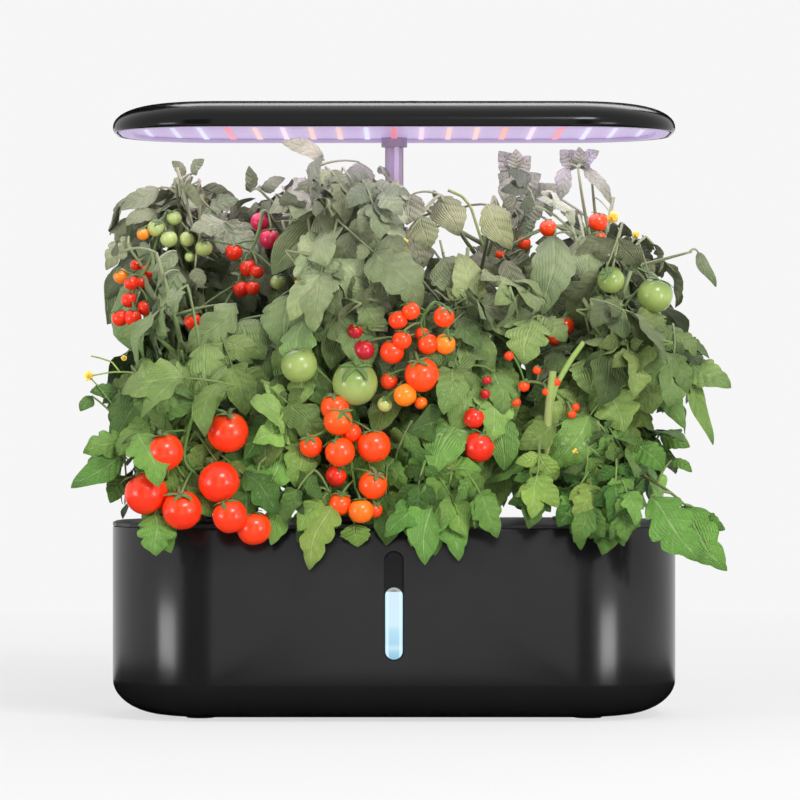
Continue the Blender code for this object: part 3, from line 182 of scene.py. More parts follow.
class Finish(Nodes):
    """A Principled material with its constant sockets set."""

    def __init__(self, name, **fixed):
        self.material = bpy.data.materials.new(name)
        self.material.use_nodes = True
        super().__init__(self.material.node_tree)
        self.skin = self.tree.nodes["Principled BSDF"]
        self.looks(**fixed)

    def looks(self, **values):
        self.feed(self.skin, {key.replace("_", " "): value for key, value in values.items()})

    def bump(self, height, distance, strength=1.0):
        sockets = {"Height": height, "Distance": distance, "Strength": strength}
        self.looks(Normal=self.node("Bump", sockets=sockets))


# Finishes

def moulded(name, colour, roughness, grain=900.0, depth=0.00002, mottle=0.25, gloss=0.5):
    """Moulded plastic or rubber: a fine spark-eroded grain, with a slow drift in gloss and tone."""
    made = Finish(name, Specular_IOR_Level=gloss)
    drift = made.noise(22.0, 3.0)
    grains = made.noise(grain, 2.0)
    deep = made.mix(drift, colour, tuple(c * (1 - mottle) for c in colour))
    made.looks(Base_Color=deep, Roughness=roughness + (drift - 0.5) * 0.06 + (grains - 0.5) * 0.08)
    made.bump(grains, depth, 0.35)
    return made.material


def brushed_metal(name, colour, roughness):
    """Drawn metal tube: fine lines round it from polishing, and faint marks of handling."""
    made = Finish(name, Metallic=1.0)
    stretched = made.node("Mapping", sockets={"Vector": made.place(), "Scale": (1, 1, 40)})
    lines = made.noise(60.0, 4.0, stretched)
    marks = made.noise(35.0, 2.0)
    made.looks(
        Base_Color=made.mix(marks, colour, tuple(c * 0.86 for c in colour)),
        Roughness=roughness + lines * 0.06 + marks * 0.05,
    )
    made.bump(lines, 0.00001, 0.2)
    return made.material


GLOW = (0.425, 0.315, 0.560)


def lit_rim():
    """Grey rim round the light panel, with painted light: it glows lilac as if flooded by the panel's light, dimmer in
    patches.
    """
    made = Finish("lit_rim", Roughness=0.45)
    drift = made.noise(30.0, 2.0)
    # Painted light: the rim is no lamp, yet it glows lilac.
    made.looks(
        Base_Color=made.mix(drift, (0.20, 0.18, 0.22), (0.16, 0.15, 0.18)),
        Emission_Color=made.mix(drift * 0.5, GLOW, (0.34, 0.26, 0.44)), Emission_Strength=0.85,
    )
    return made.material


def light_panel():
    """The diffuser glows lilac, brighter towards its middle, and each strip of diodes has its own colour."""
    made = Finish("light_panel", Roughness=0.4)
    x, y, _ = made.split(made.place())
    blue, red, peach = (0.78, 0.82, 1.0), (1.0, 0.14, 0.10), (1.0, 0.60, 0.42)
    rose, orange, pink = (1.0, 0.80, 0.86), (1.0, 0.36, 0.13), (0.95, 0.68, 0.80)
    order = [blue, red, peach, rose, peach, peach, blue, red, pink, peach, peach, orange, rose, red, blue]
    across = x / (len(order) * STRIP_PITCH) + 0.5
    colour = made.ramp(across, *[(i / len(order), c) for i, c in enumerate(order)], interpolation="CONSTANT")
    middle = abs(made.node("Math", {"operation": "FRACT"}, {0: across * len(order)}) - 0.5)
    strip = 1 - middle.step(0.06, 0.12)
    diode = (y / DIODE_PITCH).wave().step(0.35, 0.55)
    lit = strip * (0.35 + 0.65 * diode)
    edge = 1 - (abs(x) / HALF_WIDTH).step(0.70, 1.0) * 0.25
    soft = made.mix(made.noise(60.0, 2.0) * 0.3, GLOW, (0.35, 0.27, 0.52))
    halo = made.mix((1 - middle.step(0.05, 0.34)) * 0.16, soft, colour)
    made.looks(
        Base_Color=(0.10, 0.08, 0.12, 1),
        Emission_Color=made.mix(edge, (0.20, 0.15, 0.26), made.mix(lit * 0.85, halo, colour)),
        Emission_Strength=1.0,
    )
    return made.material


def lit_water():
    """The gauge glass glows as painted light, for it is no lamp: pale at its edges, deeper blue at the foot, and dark
    with a painted glint in a pale arch over the water.
    """
    made = Finish("lit_water", Roughness=0.12)
    x, _, z = made.split(made.place())
    out = abs(x) / GLASS_HALF
    body = made.ramp(
        z.step(GLASS_LOW, WATER_LEVEL),
        (0.00, (0.230, 0.500, 0.680)), (0.10, (0.330, 0.600, 0.780)), (0.17, (0.560, 0.800, 0.880)),
        (0.24, (0.360, 0.640, 0.830)), (0.42, (0.420, 0.690, 0.850)), (0.50, (0.600, 0.800, 0.900)),
        (1.00, (0.620, 0.790, 0.930)),
    )
    edge = out.step(0.52, 0.66) * (1 - out.step(0.80, 1.0))
    body = made.mix(edge * 0.85, body, (0.700, 0.940, 0.980))
    body = made.mix(out.step(0.86, 1.0) * 0.5, body, (0.200, 0.520, 0.720))
    # Painted highlight: a pale glint in an arch near the top of the glass, above the water.
    arch = ((x * x + (z - (GLASS_HIGH - GLASS_HALF)) ** 2) ** 0.5).step(0.0036, 0.0044)
    empty = made.mix(arch * 0.8, (0.030, 0.030, 0.032), (0.420, 0.410, 0.390))
    body = made.mix(z.step(WATER_LEVEL - 0.0003, WATER_LEVEL + 0.0003), body, empty)
    # Painted light: the glass glows, standing in for light through the water.
    made.looks(Base_Color=(0.05, 0.06, 0.07, 1), Emission_Color=body, Emission_Strength=0.95)
    return made.material


def leaf_skin():
    """
    Tomato leaf. The attribute blade holds the place along it, the place across it and its side, and tint holds its
    own tone, hue and age. Side veins run forward from the midrib; the blade puckers up between them and crinkles.
    """
    made = Finish("leaf_skin", Specular_IOR_Level=0.30, Sheen_Weight=0.05, Sheen_Roughness=0.5)
    along, across, side = made.read("blade")
    tone, hue, age = made.read("tint")
    x, _, z = made.split(made.place())
    out = abs(across)
    uneven = made.noise(60.0, 3.0)
    fine = made.noise(330.0, 3.0)
    forward = along * 5.5 - out * 1.1 + (uneven - 0.5) * 0.5
    puff = forward.wave() ** 0.6
    branch = (along * 3.0 + out * 7.0 + (uneven - 0.5) * 1.2).wave() ** 0.7
    rib = (1 - forward.wave().step(0.0, 0.16)) * (1 - out.step(0.70, 1.0)) * along.step(0.02, 0.10)
    midrib = 1 - out.step(0.015, 0.075)
    vein = (rib * 0.55 + midrib).clip()
    # Lighter and greyer towards the top: partly the leaves' own colour, partly painted light, a lift that stands in
    # for the grow lamp's light on the upper leaves.
    green = made.mix(hue, (0.062, 0.175, 0.024), (0.155, 0.300, 0.050))
    middle = made.mix(hue, (0.125, 0.215, 0.065), (0.245, 0.325, 0.105))
    grey_green_and_painted_light = made.mix(hue, (0.235, 0.270, 0.155), (0.350, 0.360, 0.215))
    lilac = made.mix(hue, (0.400, 0.370, 0.400), (0.450, 0.430, 0.370))
    body = made.mix(z.step(0.165, 0.245), green, middle)
    body = made.mix(z.step(0.240, 0.310), body, grey_green_and_painted_light)
    # Painted light: the grow lamp's lilac light on the top leaves right of x = -0.08 m, less on aged ones.
    body = made.mix(z.step(0.320, 0.365) * x.step(-0.095, -0.065) * (0.85 - age * 2).clip(), body, lilac)
    body = made.mix(age, body, (0.270, 0.290, 0.060))
    body = made.mix((uneven - 0.40).clip() * 1.6, body, made.mix(0.6, body, (0.020, 0.070, 0.012)))
    # Painted shade: darker in the grooves between the puckers.
    body = made.mix((1 - puff) * 0.35, body, made.mix(0.5, body, (0.030, 0.085, 0.018)))
    # Pale flecks kept to the raised crowns of the puckers: painted light where the crowns catch it.
    body = made.mix(fine.step(0.52, 0.80) * 0.30 * puff, body, (0.300, 0.420, 0.170))
    body = made.mix(vein * 0.32, body, (0.340, 0.430, 0.200))
    under = made.mix(0.5, body, (0.270, 0.360, 0.210))
    body = made.mix(side.step(-0.1, 0.1), under, body)
    shade = 0.42 + tone * 1.0
    body = made.mix(1.0, body, made.node("CombineXYZ", sockets={0: shade, 1: shade, 2: shade}), "MULTIPLY")
    made.looks(Base_Color=body, Roughness=0.46 + (fine - 0.5) * 0.25 - vein * 0.05)
    made.bump(puff * 0.55 + branch * 0.35 + (1 - midrib) * 0.5 + fine * 0.40, 0.0013, 0.80)
    return made.material


def stalk_skin(name, low, high):
    """Downy green stalk, paler and browner in streaks along it."""
    made = Finish(name, Sheen_Weight=0.2, Specular_IOR_Level=0.3)
    z = made.split(made.place())[2]
    streak = made.noise(260.0, 3.0)
    body = made.mix(z.step(0.23, 0.35), low, high)
    body = made.mix(made.noise(45.0, 2.0).step(0.45, 0.75) * 0.5, body, (0.230, 0.190, 0.100))
    made.looks(Base_Color=body, Roughness=0.45 + streak * 0.2)
    made.bump(streak, 0.0003, 0.4)
    return made.material


def fruit_skin():
    """
    Cherry tomato. The attribute blade holds the place from stalk to foot, and tint the ripeness. A ripe one is
    orange round its shoulders; a green one is dark there and pale below.
    """
    made = Finish("fruit_skin", Coat_Weight=0.30, Coat_Roughness=0.14, Specular_IOR_Level=0.40)
    along = made.read("blade")[0]
    ripe = made.read("tint")[0]
    cloud = made.noise(95.0, 3.0)
    specks = made.noise(1500.0, 1.0)
    shoulder = 1 - along.step(0.08, 0.42)
    stage = ripe - shoulder * 0.10 + (cloud - 0.5) * 0.10
    body = made.ramp(
        stage / 1.25,
        (0.00, (0.165, 0.255, 0.050)), (0.16, (0.380, 0.460, 0.150)), (0.36, (0.600, 0.520, 0.150)),
        (0.50, (0.930, 0.230, 0.010)), (0.64, (0.930, 0.085, 0.006)), (0.80, (0.880, 0.030, 0.007)),
        (0.90, (0.420, 0.008, 0.008)), (1.00, (0.560, 0.020, 0.085)),
    )
    green = 1 - ripe.step(0.05, 0.35)
    body = made.mix(shoulder * green * 0.65, body, (0.070, 0.140, 0.035))
    body = made.mix(specks.step(0.62, 0.75) * 0.10, body, (0.900, 0.420, 0.150))
    made.looks(Base_Color=body, Roughness=0.26 + (cloud - 0.5) * 0.08)
    made.bump(cloud, 0.0002, 0.25)
    return made.material


def petal_skin():
    """Yellow petals, deeper towards the throat and lightly streaked along their length."""
    made = Finish("petal_skin", Sheen_Weight=0.2)
    along, across, _ = made.read("blade")
    streak = (across * 3.5).wave() * 0.3
    body = made.mix((along + streak).clip(), (0.700, 0.380, 0.020), (0.850, 0.700, 0.120))
    made.looks(Base_Color=body, Roughness=0.5)
    return made.material


SKINS = {
    "shell_black": moulded("satin_black", (0.0100, 0.0101, 0.0105), 0.20, gloss=0.40),
    "gloss_black": moulded("gloss_black", (0.0050, 0.0051, 0.0054), 0.16, grain=500.0, depth=0.00001, gloss=0.22),
    "deck_black": moulded("deck_black", (0.0150, 0.0150, 0.0160), 0.42),
    "basket_black": moulded("basket_black", (0.0130, 0.0130, 0.0130), 0.50),
    "rubber_black": moulded("rubber_black", (0.0180, 0.0175, 0.0170), 0.75, grain=1400.0, depth=0.00006),
    # Painted light: the bezel's grey is tinted lilac for the panel's light falling on it.
    "bezel_grey": moulded("bezel_grey", (0.400, 0.360, 0.430), 0.42),
    "circuit_green": moulded("circuit_green", (0.010, 0.085, 0.030), 0.40, grain=300.0),
    "float_white": moulded("float_white", (0.700, 0.700, 0.680), 0.40),
    "foam_brown": moulded("foam_brown", (0.085, 0.055, 0.035), 0.90, grain=260.0, depth=0.0006, mottle=0.5),
    # Painted reflection: the steel post is tinted lilac for the grow lamp's light that it mirrors.
    "post_steel": brushed_metal("post_steel", (0.400, 0.335, 0.425), 0.30),
    "board_lilac": light_panel(),
    "water_blue": lit_water(),
}
# Painted light: the hub under the lamp is lilac grey as if lit by the panel.
SPECIAL = {"lamp_bezel": lit_rim(), "lamp_hub": moulded("hub_grey", (0.480, 0.380, 0.520), 0.45)}
LEAF, FRUIT, PETAL = leaf_skin(), fruit_skin(), petal_skin()
STALK = stalk_skin("stalk_skin", (0.130, 0.220, 0.045), (0.300, 0.320, 0.200))
PALE_STALK = stalk_skin("pale_stalk_skin", (0.250, 0.370, 0.080), (0.270, 0.320, 0.130))
SEPAL = stalk_skin("sepal_skin", (0.085, 0.185, 0.030), (0.130, 0.190, 0.075))

for node_name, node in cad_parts.items():
    for own in node.material_slots:
        known = [key for key in SKINS if own.material and own.material.name.startswith(key)]
        own.link = "OBJECT"
        own.material = SPECIAL.get(node_name) or SKINS[known[0] if known else "deck_black"]


# Meshes from grids

def unit(v):
    return v / np.maximum(np.linalg.norm(v, axis=-1, keepdims=True), 1e-9)


def seen_at(px, py, y):
    """The point at depth y that the camera sees at a pixel: similar triangles from the eye."""
    px, py, y = np.broadcast_arrays(*[np.asarray(v, float) for v in (px, py, y)])
    reach = (y - EYE[1]) / FOCAL
    return np.stack([EYE[0] + (px - PICTURE / 2) * reach, y, EYE[2] - (py - PICTURE / 2) * reach], axis=-1)


def pixel_of(points):
    """The pixel at which the camera sees a point: the reverse of seen_at."""
    reach = (points[..., 1] - EYE[1]) / FOCAL
    return (points[..., 0] - EYE[0]) / reach + PICTURE / 2, (EYE[2] - points[..., 2]) / reach + PICTURE / 2


def closed_grid(grids):
    """Faces of n closed tubes: quads between neighbouring rings and a cap on each end ring, all facing outwards."""
    n, rings, points, _ = grids.shape
    index = np.arange(n * rings * points).reshape(n, rings, points)
    after = np.roll(index, -1, axis=2)
    quads = np.stack([index[:, :-1], after[:, :-1], after[:, 1:], index[:, 1:]], axis=-1).reshape(-1, 4)
    caps = np.concatenate([index[:, 0, ::-1], index[:, -1]])
    flat = grids.reshape(-1, 3)
    a, b, c, d = (flat[quads[:, i]] for i in range(4))
    middle = np.repeat(grids.mean(axis=(1, 2)), (rings - 1) * points, axis=0)
    volume = np.einsum("ij,ij->i", a - middle, np.cross(c - a, d - b)).reshape(n, -1).sum(axis=1)
    turned = np.repeat(volume < 0, (rings - 1) * points)
    quads[turned] = quads[turned, ::-1]
    turned = np.tile(volume < 0, 2)
    caps[turned] = caps[turned, ::-1]
    return quads, caps


def piece(name, grids, skin, nodes=(), body="planter", slot=None, crease=None, **attributes):
    """One object from arrays of closed tubes [n, rings, points, 3]; attributes are vectors at the same points."""
    corners, polygons, start = [], [], 0
    for grid in grids:
        quads, caps = closed_grid(grid)
        polygons += [quads + start, caps + start]
        corners.append(grid.reshape(-1, 3))
        start += grid[..., 0].size
    mesh = bpy.data.meshes.new(name)
    corners = np.concatenate(corners)
    sizes = np.concatenate([np.full(len(p), p.shape[1]) for p in polygons])
    loops = np.concatenate([p.reshape(-1) for p in polygons])
    mesh.vertices.add(len(corners))
    mesh.vertices.foreach_set("co", corners.ravel())
    mesh.loops.add(len(loops))
    mesh.loops.foreach_set("vertex_index", loops.astype(np.int32))
    mesh.polygons.add(len(sizes))
    mesh.polygons.foreach_set("loop_start", np.concatenate([[0], np.cumsum(sizes)[:-1]]).astype(np.int32))
    mesh.polygons.foreach_set("loop_total", sizes.astype(np.int32))
    mesh.polygons.foreach_set("use_smooth", np.full(len(sizes), True))
    for key, values in attributes.items():
        layer = mesh.attributes.new(key, "FLOAT_VECTOR", "POINT")
        vectors = np.concatenate([v.reshape(-1, 3) for v in values])
        layer.data.foreach_set("vector", vectors.astype(np.float32).ravel())
    mesh.update(calc_edges=True)
    mesh.validate()
    if crease:
        mesh.set_sharp_from_angle(angle=math.radians(crease))
    mesh.materials.append(skin)
    made = bpy.data.objects.new(name, mesh)
    bpy.context.collection.objects.link(made)
    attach(made, body)
    if nodes:
        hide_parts(*nodes)
    return made


def tubes(paths, radii, points=6):
    """
    n round tubes [n, rings, points, 3] along paths [n, rings, 3]: circles of the given radii [n, rings] in the
    plane across the path, whose first axis is the path's direction crossed with a fixed slanting vector.
    """
    ahead = unit(np.gradient(paths, axis=1))
    first = unit(np.cross(ahead, np.array([0.31, 0.87, 0.38])))
    second = np.cross(ahead, first)
    turn = np.arange(points) * 2 * math.pi / points
    circle = first[:, :, None] * np.cos(turn)[:, None] + second[:, :, None] * np.sin(turn)[:, None]
    return paths[:, :, None] + circle * np.asarray(radii)[:, :, None, None]


def tapered(paths, first, last, points):
    """Tubes whose radius goes evenly from first to last along each path."""
    return tubes(paths, np.broadcast_to(np.linspace(first, last, paths.shape[1]), paths.shape[:2]), points)


def evenly(points, count):
    """So many points [count, 3] on the straight lines between some [k, 3], with as many on each line."""
    places, knots = np.linspace(0, 1, count), np.linspace(0, 1, len(points))
    return np.stack([np.interp(places, knots, points[:, i]) for i in range(3)], axis=-1)


def curve(a, b, c, rings):
    """Quadratic curves [n, rings, 3] from a to c, drawn towards b."""
    t = np.linspace(0, 1, rings)[:, None]
    return a[:, None] * (1 - t) ** 2 + b[:, None] * 2 * t * (1 - t) + c[:, None] * t**2


def blades(
    base, tip, facing, width, bow=0.1, fold=0.25, curl=0.25, lobes=3.0, depth=0.15, rings=13, fine=False
):
    """
    n leaflets [n, rings, points, 3] from base to tip. The half width grows as t^0.5 (1 - t)^0.85 with the place t
    along it, and narrow notches that lean to the tip part it into lobes. Each half rises from the midrib by fold,
    its edge bends back by curl, and the whole bows away from a straight line. Returns the points and their places.
    """
    n = len(base)
    t = np.linspace(0, 1, rings)
    u = np.array([-1, -0.55, 0, 0.55, 1, 0.55, 0, -0.55]) if fine else np.array([-1.0, 0, 1, 0])
    side = np.where(np.arange(len(u)) < (5 if fine else 3), 1.0, -1.0)
    column = lambda value: np.broadcast_to(np.asarray(value, float), (n,))[:, None, None]
    width, bow, fold, curl, lobes, depth = (column(v) for v in (width, bow, fold, curl, lobes, depth))
    phase = rng.random((n, 1, 1))
    reach = tip - base
    length = np.linalg.norm(reach, axis=1)[:, None, None]
    ahead = unit(reach)
    across = unit(np.cross(ahead, facing))
    up = np.cross(across, ahead)
    t3 = t[None, :, None]
    lobe = (lobes * t3**0.9 + phase + 0.3 * (u[None, None] > 0)) % 1.0
    notch = (1 - np.sin(math.pi * lobe**1.6)) ** 2.5
    cut = 1 - depth * 2.2 * notch * (1 - 0.55 * t3)
    outline = t3**0.5 * (1 - t3) ** 0.85 / 0.41
    half = width / 2 * outline * np.where(np.abs(u) > 0.7, cut, 1 - 0.5 * (1 - cut)) + 0.0003
    reach_u = np.abs(u)[None, None]
    wobble = np.sin(2 * math.pi * (1.3 * t3 + phase) + 1.2 * np.sign(u)) * 0.16
    forward = length * t3 + half * reach_u * (0.35 * (1 - t3) - 0.1)
    rise = half * (reach_u * (fold + wobble) - curl * reach_u**2) + length * bow * 4 * t3 * (1 - t3)
    rise = rise + side * 0.00028 * (1 - 0.8 * reach_u)
    sideways = half * u + length * 0.06 * np.sin(2 * math.pi * (t3 * 0.5 + phase)) * t3 * (1 - t3) * 4
    grid = base[:, None, None] + ahead[:, None, None] * forward[..., None]
    grid = grid + across[:, None, None] * sideways[..., None] + up[:, None, None] * rise[..., None]
    place = np.stack(np.broadcast_arrays(t3 + 0 * half, u + 0 * half, side + 0 * half), axis=-1)
    return grid, place


def tint(shape, *values):
    """The same three numbers at every point of each piece."""
    n = shape[0]
    rows = np.stack([np.broadcast_to(np.asarray(v, float), (n,)) for v in values], axis=-1)
    return np.broadcast_to(rows[:, None, None], (*shape[:3], 3))


def globes(centre, radius, up, rings=15, points=18):
    """n fruit [n, rings, points, 3]: spheres about up, a little flat, drawn in round the stalk by a bell curve."""
    polar = np.linspace(0.03, math.pi - 0.03, rings)
    turn = np.arange(points) * 2 * math.pi / points
    first = unit(np.cross(up, np.array([0.3, 0.9, 0.2])))
    second = np.cross(up, first)
    out = np.sin(polar) * (1 + 0.02 * np.cos(2 * polar))
    dimple, foot = np.exp(-((polar / 0.42) ** 2)), np.exp(-(((math.pi - polar) / 0.3) ** 2))
    high = 0.96 * np.cos(polar) - 0.13 * dimple + 0.03 * foot
    circle = first[:, None] * np.cos(turn)[:, None] + second[:, None] * np.sin(turn)[:, None]
    shape = circle[:, None] * out[None, :, None, None] + up[:, None, None] * high[None, :, None, None]
    grid = centre[:, None, None] + shape * np.asarray(radius)[:, None, None, None]
    place = np.stack(np.broadcast_arrays((polar / math.pi)[:, None], np.cos(turn)[None], 1.0), axis=-1)
    return grid, np.broadcast_to(place, grid.shape)


# Tank, hood and gauge

def body_outline(inset, per_corner=18, least=0.004):
    """Rounded rectangle [points, 2]: quarter circles about the four corner centres, drawn in by an inset."""
    centres = np.array([[1, -1], [1, 1], [-1, 1], [-1, -1]]) * [HALF_WIDTH - CORNER, HALF_DEPTH - CORNER]
    radius = max(CORNER - inset, least)
    spare = max(inset - CORNER + least, 0)
    turn = np.linspace(0, math.pi / 2, per_corner)
    rows = []
    for k, centre in enumerate(centres):
        angle = turn + (k - 1) * math.pi / 2
        rows.append(centre - np.sign(centre) * spare + radius * np.stack([np.cos(angle), np.sin(angle)], axis=-1))
    return np.concatenate(rows)


def moulding(name, profile, skin, node, cutters=(), body="planter", slot=None):
    """A shell: the outline repeated at each (inset, height) of a closed-ended profile, then cut by other solids."""
    rings = [np.insert(body_outline(inset), 2, height, axis=1) for inset, height in profile]
    made = piece(name, [np.array(rings)[None]], skin, (node,), body, slot)
    for cutter in cutters:
        change = made.modifiers.new("Opening", "BOOLEAN")
        change.object, change.operation, change.solver = cutter, "DIFFERENCE", "EXACT"
    graph = bpy.context.evaluated_depsgraph_get()
    cut = bpy.data.meshes.new_from_object(made.evaluated_get(graph))
    made.modifiers.clear()
    made.data = cut
    for cutter in cutters:
        bpy.data.objects.remove(cutter)
    made.data.set_sharp_from_angle(angle=math.radians(32))
    return made


def quarter(run, rise, power, steps):
    """A quarter superellipse from (0, 0), upright, to (run, rise), level."""
    a = np.linspace(0, math.pi / 2, steps)
    return run * (1 - np.cos(a) ** (2 / power)), rise * np.sin(a) ** (2 / power)


def stadium(low, high, half, profile):
    """A slot shape with round ends, upright, as one ring for each (inset, depth) of a profile."""
    turn = np.linspace(0, math.pi, 21)
    rings = []
    for inset, y in profile:
        r = half - inset
        x = np.concatenate([r * np.cos(turn), -r * np.cos(turn)])
        z = np.concatenate([high - half + r * np.sin(turn), low + half - r * np.sin(turn)])
        rings.append(np.column_stack([x, np.full(len(x), y), z]))
    return np.array(rings)


def cutter(grid):
    """A solid for moulding to cut away."""
    made = piece("cutter", [grid[None]], SKINS["deck_black"])
    bpy.context.view_layer.update()
    return made


run, rise = quarter(CURL_RUN, CURL_RISE, 2.0, 12)
outer = [(a, TANK_BOTTOM + CURL_RISE - b) for a, b in zip(run[::-1], rise[::-1])]
inner = [(a + TANK_WALL, b + TANK_WALL * (1 if k == 0 else 0.6)) for k, (a, b) in enumerate(outer)][::-1]
rim = [
    (0, TANK_RIM - 0.0007), (0.0003, TANK_RIM - 0.0002), (0.0008, TANK_RIM), (TANK_WALL - 0.0004, TANK_RIM),
    (TANK_WALL, TANK_RIM - 0.0004),
]
moulding(
    "tank_shell", outer + rim + inner, SKINS["shell_black"], "tank",
    [cutter(stadium(GAUGE_LOW, GAUGE_HIGH, GAUGE_HALF, [(0, -0.0945), (0, -0.088)]))], slot="shell_black",
)
FRONT = -HALF_DEPTH
tray = [
    (0.0002, -0.0900), (0.0002, FRONT - 0.0001), (0.0004, FRONT - 0.0003), (0.0007, FRONT - 0.0003),
    (0.0010, FRONT + 0.0005),
]
piece(
    "gauge_frame", [stadium(GAUGE_LOW, GAUGE_HIGH, GAUGE_HALF, tray)[None]], SKINS["gloss_black"],
    ("gauge_trim",), slot="gloss_black", crease=30,
)
glass = [(0, FRONT + 0.0006), (0, FRONT + 0.0001), (0.0002, FRONT - 0.0002), (0.0006, FRONT - 0.0003)]
piece(
    "gauge_glass", [stadium(GLASS_LOW, GLASS_HIGH, GLASS_HALF, glass)[None]], SKINS["water_blue"],
    ("gauge_window",), slot="water_blue", crease=40,
)

run, rise = quarter(DOME_RUN, LAMP_TOP - LAMP_BOTTOM - LAMP_LIP, DOME_POWER, 14)
outside = [(0.0010, LAMP_BOTTOM), (0.0004, LAMP_BOTTOM + 0.0009), *zip(run, LAMP_BOTTOM + LAMP_LIP + rise)]
within = [(a + LAMP_WALL, max(b - 0.0012 - 0.0008 * k / 15, LAMP_BOTTOM)) for k, (a, b) in enumerate(outside)]
turn = np.arange(28) * 2 * math.pi / 28
circle = BUTTON_HOLE * np.column_stack([np.cos(turn), np.sin(turn), 0 * turn])
holes = [
    cutter(np.stack([circle + [x, BUTTON_Y, z] for z in (LAMP_TOP - 0.0086, LAMP_TOP + 0.0114)]))
    for x in (-BUTTON_X, BUTTON_X)
]
moulding("hood_shell", outside[::-1] + within, SKINS["gloss_black"], "lamp_hood", holes, "lamp", "gloss_black")


# Tomato plants

STEM_TOPS = np.array([
    (-0.155, -0.057, 0.304), (-0.056, -0.061, 0.330), (0.048, -0.059, 0.307), (0.154, -0.056, 0.292),
    (-0.144, 0.054, 0.345), (-0.067, 0.039, 0.357), (0.067, 0.037, 0.345), (0.148, 0.052, 0.345),
])
PODS = np.array([(x, y, DECK_TOP + 0.0009) for y in (POD_FRONT, POD_BACK) for x in POD_X])
BENDS = np.column_stack([PODS[:, :2], (PODS[:, 2] + STEM_TOPS[:, 2]) / 2])


def on_stem(plant, share):
    """Points on the plants' stems: a quadratic curve from pod to top, upright at first."""
    share = np.asarray(share, float)[..., None]
    return PODS[plant] * (1 - share) ** 2 + BENDS[plant] * 2 * share * (1 - share) + STEM_TOPS[plant] * share**2


# Side shoots: plant, share up its stem at which it leaves, then its end in pixels and its depth in mm
SHOOTS = np.array([
    (0, 0.35, 118, 448, -98), (0, 0.45, 200, 350, -90), (0, 0.60, 150, 330, -60), (0, 0.25, 168, 500, -104),
    (1, 0.30, 290, 450, -98), (1, 0.50, 320, 310, -80), (1, 0.20, 330, 495, -104), (1, 0.10, 425, 482, -106),
    (1, 0.70, 330, 215, -60), (2, 0.35, 470, 360, -94), (2, 0.25, 505, 420, -94), (2, 0.50, 530, 320, -80),
    (2, 0.15, 440, 480, -104), (2, 0.20, 540, 470, -98), (2, 0.75, 440, 240, -50), (3, 0.50, 600, 360, -90),
    (3, 0.60, 650, 320, -60), (3, 0.50, 688, 370, -66), (3, 0.25, 620, 490, -104), (3, 0.25, 685, 505, -104),
    (3, 0.80, 575, 235, -60), (4, 0.80, 175, 178, -3), (4, 0.60, 128, 245, -10), (4, 0.75, 200, 235, -20),
    (4, 0.50, 190, 290, 0), (5, 0.85, 258, 188, 5), (5, 0.85, 320, 165, 0), (5, 0.60, 250, 250, 0),
    (5, 0.50, 300, 300, 0), (6, 0.85, 385, 175, -5), (6, 0.80, 440, 195, -20), (6, 0.75, 512, 172, -5),
    (6, 0.70, 490, 225, -20), (6, 0.50, 450, 300, 0), (7, 0.75, 578, 168, 4), (7, 0.80, 592, 182, 4),
    (7, 0.75, 690, 252, 0), (7, 0.60, 650, 280, -30), (7, 0.40, 640, 350, 0),
])
SHOOT_PLANT = SHOOTS[:, 0].astype(int)
SHOOT_ROOT, SHOOT_END = on_stem(SHOOT_PLANT, SHOOTS[:, 1]), seen_at(*SHOOTS[:, 2:4].T, SHOOTS[:, 4] * MM)
SHOOT_BEND = SHOOT_ROOT * [0.35, 0.35, 0.6] + SHOOT_END * [0.65, 0.65, 0.4] + [0, 0, 4 * MM]
SHOOT_PATHS = curve(SHOOT_ROOT, SHOOT_BEND, SHOOT_END, 12)


def carrier(plant, point, least):
    """The nearest point of a plant's stem and shoots that is at least so far from each given point."""
    found = np.empty_like(point)
    for k in range(len(PODS)):
        ours = plant == k
        shoots = SHOOT_PATHS[SHOOT_PLANT == k, 2:].reshape(-1, 3)
        places = np.concatenate([on_stem(k, np.linspace(0.15, 1, 30)), shoots])
        far = np.linalg.norm(point[ours][:, None] - places[None], axis=2)
        found[ours] = places[np.where(far < least, far + 1, far).argmin(axis=1)]
    return found


